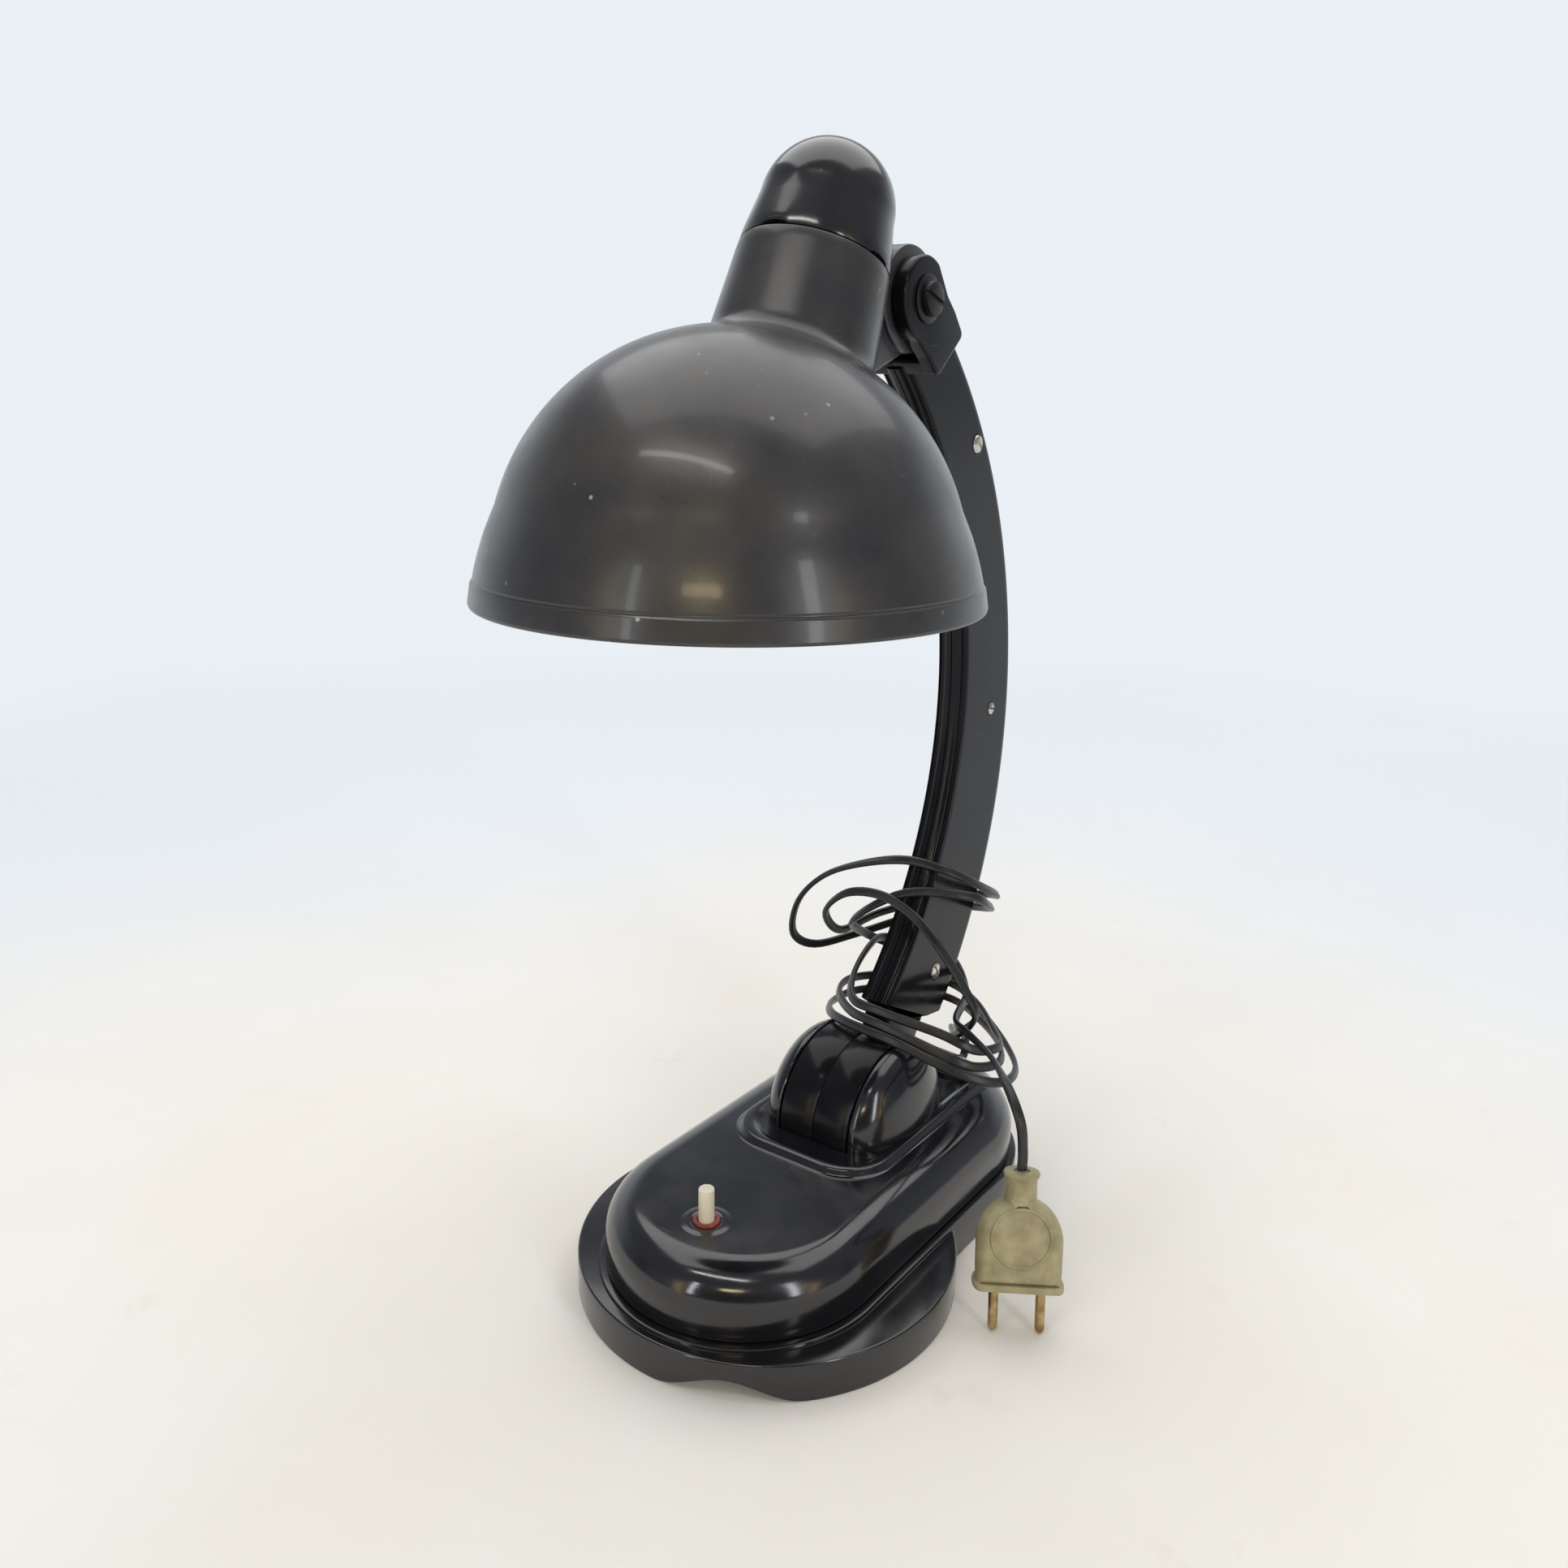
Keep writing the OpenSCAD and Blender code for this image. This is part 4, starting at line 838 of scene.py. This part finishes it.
def dome_along(turn, across):
    """How far along the neck the dome's surface lies, at a distance from the neck's axis."""
    lean = math.radians(NECK_LEAN)
    axis = np.array([0, math.sin(lean), math.cos(lean)])
    side = np.array([math.cos(turn), math.sin(turn) * math.cos(lean), -math.sin(turn) * math.sin(lean)])
    start = side * across - np.array([0, 0, DOME_Z])
    b = start @ axis
    return -b + math.sqrt(b * b - start @ start + DOME_R ** 2)


def add_shade():
    bell = Build().lathe(bell_profile(), Matrix.Translation(RIM), 192, wrap=True)
    bore = Build().lathe([(NECK_BORE, 50), (NECK_BORE, 120)], neck_place(), 96)
    bell.made("shade_bell", "shade_moulding", "head", ("shade",), (bore,), sharp=24)

    neck, rings, spins = Build(), [], 144
    def ring(radius_along):
        out = []
        for k in range(spins):
            t = 2 * math.pi * k / spins
            radius, along = radius_along(t)
            out.append(neck_place() @ Vector((radius * math.cos(t), radius * math.sin(t), along)))
        rings.append(out)
    slope = (NECK_LOW_R - NECK_TOP_R) / (SEAM_AT - 88)
    skirt, rise = 5.5, 6.5
    ring(lambda t: (NECK_LOW_R + skirt + 0.6, dome_along(t, NECK_LOW_R + skirt + 0.6) - 1.6))
    for k in range(9):
        s = k / 8
        def fillet(t, s=s):
            r = NECK_LOW_R
            a = np.array([r + skirt, dome_along(t, r + skirt)])
            b = np.array([r, dome_along(t, r)])
            c = b + np.array([-slope * rise, rise])
            return tuple((1 - s) ** 2 * a + 2 * s * (1 - s) * b + s * s * c)
        ring(fillet)
    top = [(NECK_TOP_R + 0.35, SEAM_AT - 4), (NECK_TOP_R, SEAM_AT - 0.7), (NECK_TOP_R - 0.25, SEAM_AT - 0.2),
           (NECK_TOP_R - 0.8, SEAM_AT), (NECK_BORE + 0.4, SEAM_AT), (NECK_BORE, SEAM_AT - 0.5),
           (NECK_BORE, 84), (NECK_BORE + 0.5, 70)]
    for radius, along in top:
        ring(lambda t, r=radius, a=along: (r, a))
    neck.rings(rings, wrap=True)
    neck.made("shade_neck", "shade_moulding", "head", ("shade",), sharp=30)

    lug = Build()
    place = along_x((0, BOLT.y, BOLT.z))
    lug.lathe([(3.2, -12), (18.8, -12), (19.7, -11.6), (20, -10.8), (20, 10.8), (19.7, 11.6),
               (18.8, 12), (3.2, 12)], place, 96)
    def on_neck(along, across):
        lean = math.radians(NECK_LEAN)
        return (RIM.y + along * math.sin(lean) + across * math.cos(lean),
                RIM.z + along * math.cos(lean) - across * math.sin(lean))
    web = rounded([(*on_neck(93, 24), 0), (*on_neck(93, 31), 4), (BOLT.y + 2, BOLT.z - 19, 3),
                   (BOLT.y, BOLT.z, 0), (BOLT.y - 6, BOLT.z + 17, 3), (*on_neck(SEAM_AT - 2, 28), 4),
                   (*on_neck(SEAM_AT - 2, 24), 0)], 5)
    lug.plate(web, -10.5, 10.5, (2.2, 2.2), 5)
    lug.made("shade_lug", "shade_moulding", "head", ("shade",), sharp=34)


def add_cap():
    """Domed cap; four shallow notches in its lower edge let the warm air out."""
    profile = [(24.6, 0.2), (27.2, 0.12), (27.75, 0.4), (27.85, 1.1), (27.4, 5), (26.5, 10), (25.6, 15)]
    for k in range(25):
        t = math.pi / 2 * k / 24
        profile.append((CAP_R * math.cos(t), CAP_SKIRT + CAP_R * math.sin(t)))
    inner = CAP_R - 3
    for k in range(13):
        t = math.pi / 2 * (1 - k / 12)
        profile.append((inner * math.cos(t), CAP_SKIRT + inner * math.sin(t)))
    profile.append((24.4, 4))

    def notch(i, turn):
        if i > 3:
            return 0.0
        off = (turn + math.pi / 4) % (math.pi / 2) - math.pi / 4
        share = abs(off) / math.radians(NOTCH_HALF)
        return NOTCH_H * math.cos(share * math.pi / 2) ** 0.5 if share < 1 else 0.0

    cap = Build().lathe(profile, neck_place(SEAM_AT), 256, notch, wrap=True)
    piece = cap.made("cap_dome", "shade_moulding", "head", ("cap",), sharp=30)
    # darker glossy phenolic on the cap, partly painted shade
    piece.data.materials[0] = MATS["cap_gloss"]


# stage -----------------------------------------------------------------------------------------

def add_floor():
    """Pale sheet that turns from cream near the lamp to the backdrop's cool white, with no line between."""
    mat, add, body = shader("table_top", Roughness=0.9, Specular_IOR_Level=0.1)
    link = mat.node_tree.links.new
    where = add("ShaderNodeTexCoord").outputs["Object"]
    far = add("ShaderNodeVectorMath", {"operation": "LENGTH"}, i0=where).outputs["Value"]
    soft = remap(add, noise(add, where, 1.6, 3.0), 0.3, 0.7, -0.12, 0.12)
    far = math_node(add, "ADD", far, soft)
    cloth = two_tone(add, remap(add, noise(add, where, 5.0, 5.0), 0.3, 0.7, 0.0, 1.0),
                     (0.86, 0.825, 0.755), (0.90, 0.875, 0.82))
    # a few faint darker noise patches and specks
    darker_noise_patch = remap(add, noise(add, where, 14.0, 6.0, 0.7), 0.62, 0.72, 0.0, 0.5)
    cloth = mix_colour(add, darker_noise_patch, cloth, (0.80, 0.75, 0.66))
    link(mix_colour(add, remap(add, far, 0.25, 0.75, 0.0, 1.0), cloth, (0.84, 0.87, 0.90)),
         body.inputs["Base Color"])
    weave = noise(add, where, 700.0, 2.0)
    bump = add("ShaderNodeBump", Height=weave, Strength=0.1, Distance=0.0005)
    link(bump.outputs[0], body.inputs["Normal"])
    glow = add("ShaderNodeEmission", Color=(0.82, 0.87, 0.91, 1), Strength=1.0)
    blend = add("ShaderNodeMixShader", i0=remap(add, far, 0.45, 1.5, 0.0, 1.0))
    link(body.outputs[0], blend.inputs[1])
    link(glow.outputs[0], blend.inputs[2])
    link(blend.outputs[0], mat.node_tree.nodes["Material Output"].inputs["Surface"])
    count, reach = 96, 12.0
    mesh = bpy.data.meshes.new("table_top")
    turns = [2 * math.pi * k / count for k in range(count)]
    edge = [(reach * math.cos(t), reach * math.sin(t), 0) for t in turns]
    mesh.from_pydata(edge, [], [tuple(range(count))])
    mesh.materials.append(mat)
    floor = bpy.data.objects.new("table_top", mesh)
    bpy.context.collection.objects.link(floor)


def add_lights():
    """A soft panel and a tube overhead, a tall strip at each side, and a small warm lamp in front."""
    area_light("overhead", (-0.3, 0.6, 2.1), (0, 0, 0.1), (3.0, 2.4), 40, (1.0, 0.99, 0.975))
    area_light("tube", (0.10, -0.75, 1.35), (0, 0, 0.2), (0.9, 0.06), 3.2, (1.0, 0.97, 0.90))
    area_light("left_strip", (-0.10, -1.5, 0.60), (0, 0, 0.25), (0.10, 0.9), 2.4, (0.90, 0.95, 1.0))
    area_light("right_strip", (1.42, -0.46, 0.65), (0, 0, 0.25), (0.16, 1.0), 5.0, (0.92, 0.96, 1.0))
    area_light("warm_lamp", (0.62, -1.30, 0.90), (0, 0, 0.3), (0.42, 0.12), 2.2, (1.0, 0.80, 0.46))


# build -----------------------------------------------------------------------------------------

add_camera()
add_world()
add_lights()
add_floor()
plug_pieces = add_plug()
add_cord()
add_foot()
add_housing()
add_switch()
add_arm()
add_arm_screws()
add_head_bolt()
add_shade()
add_cap()

# the CAD nodes that stay visible get the same finishes as the pieces built here
slots = {part["node"]: part["material_slot"] for part in frame["record"]["subparts"]}
for node, piece in frame["nodes"].items():
    piece.data.materials.clear()
    piece.data.materials.append(MATS[slots[node]])
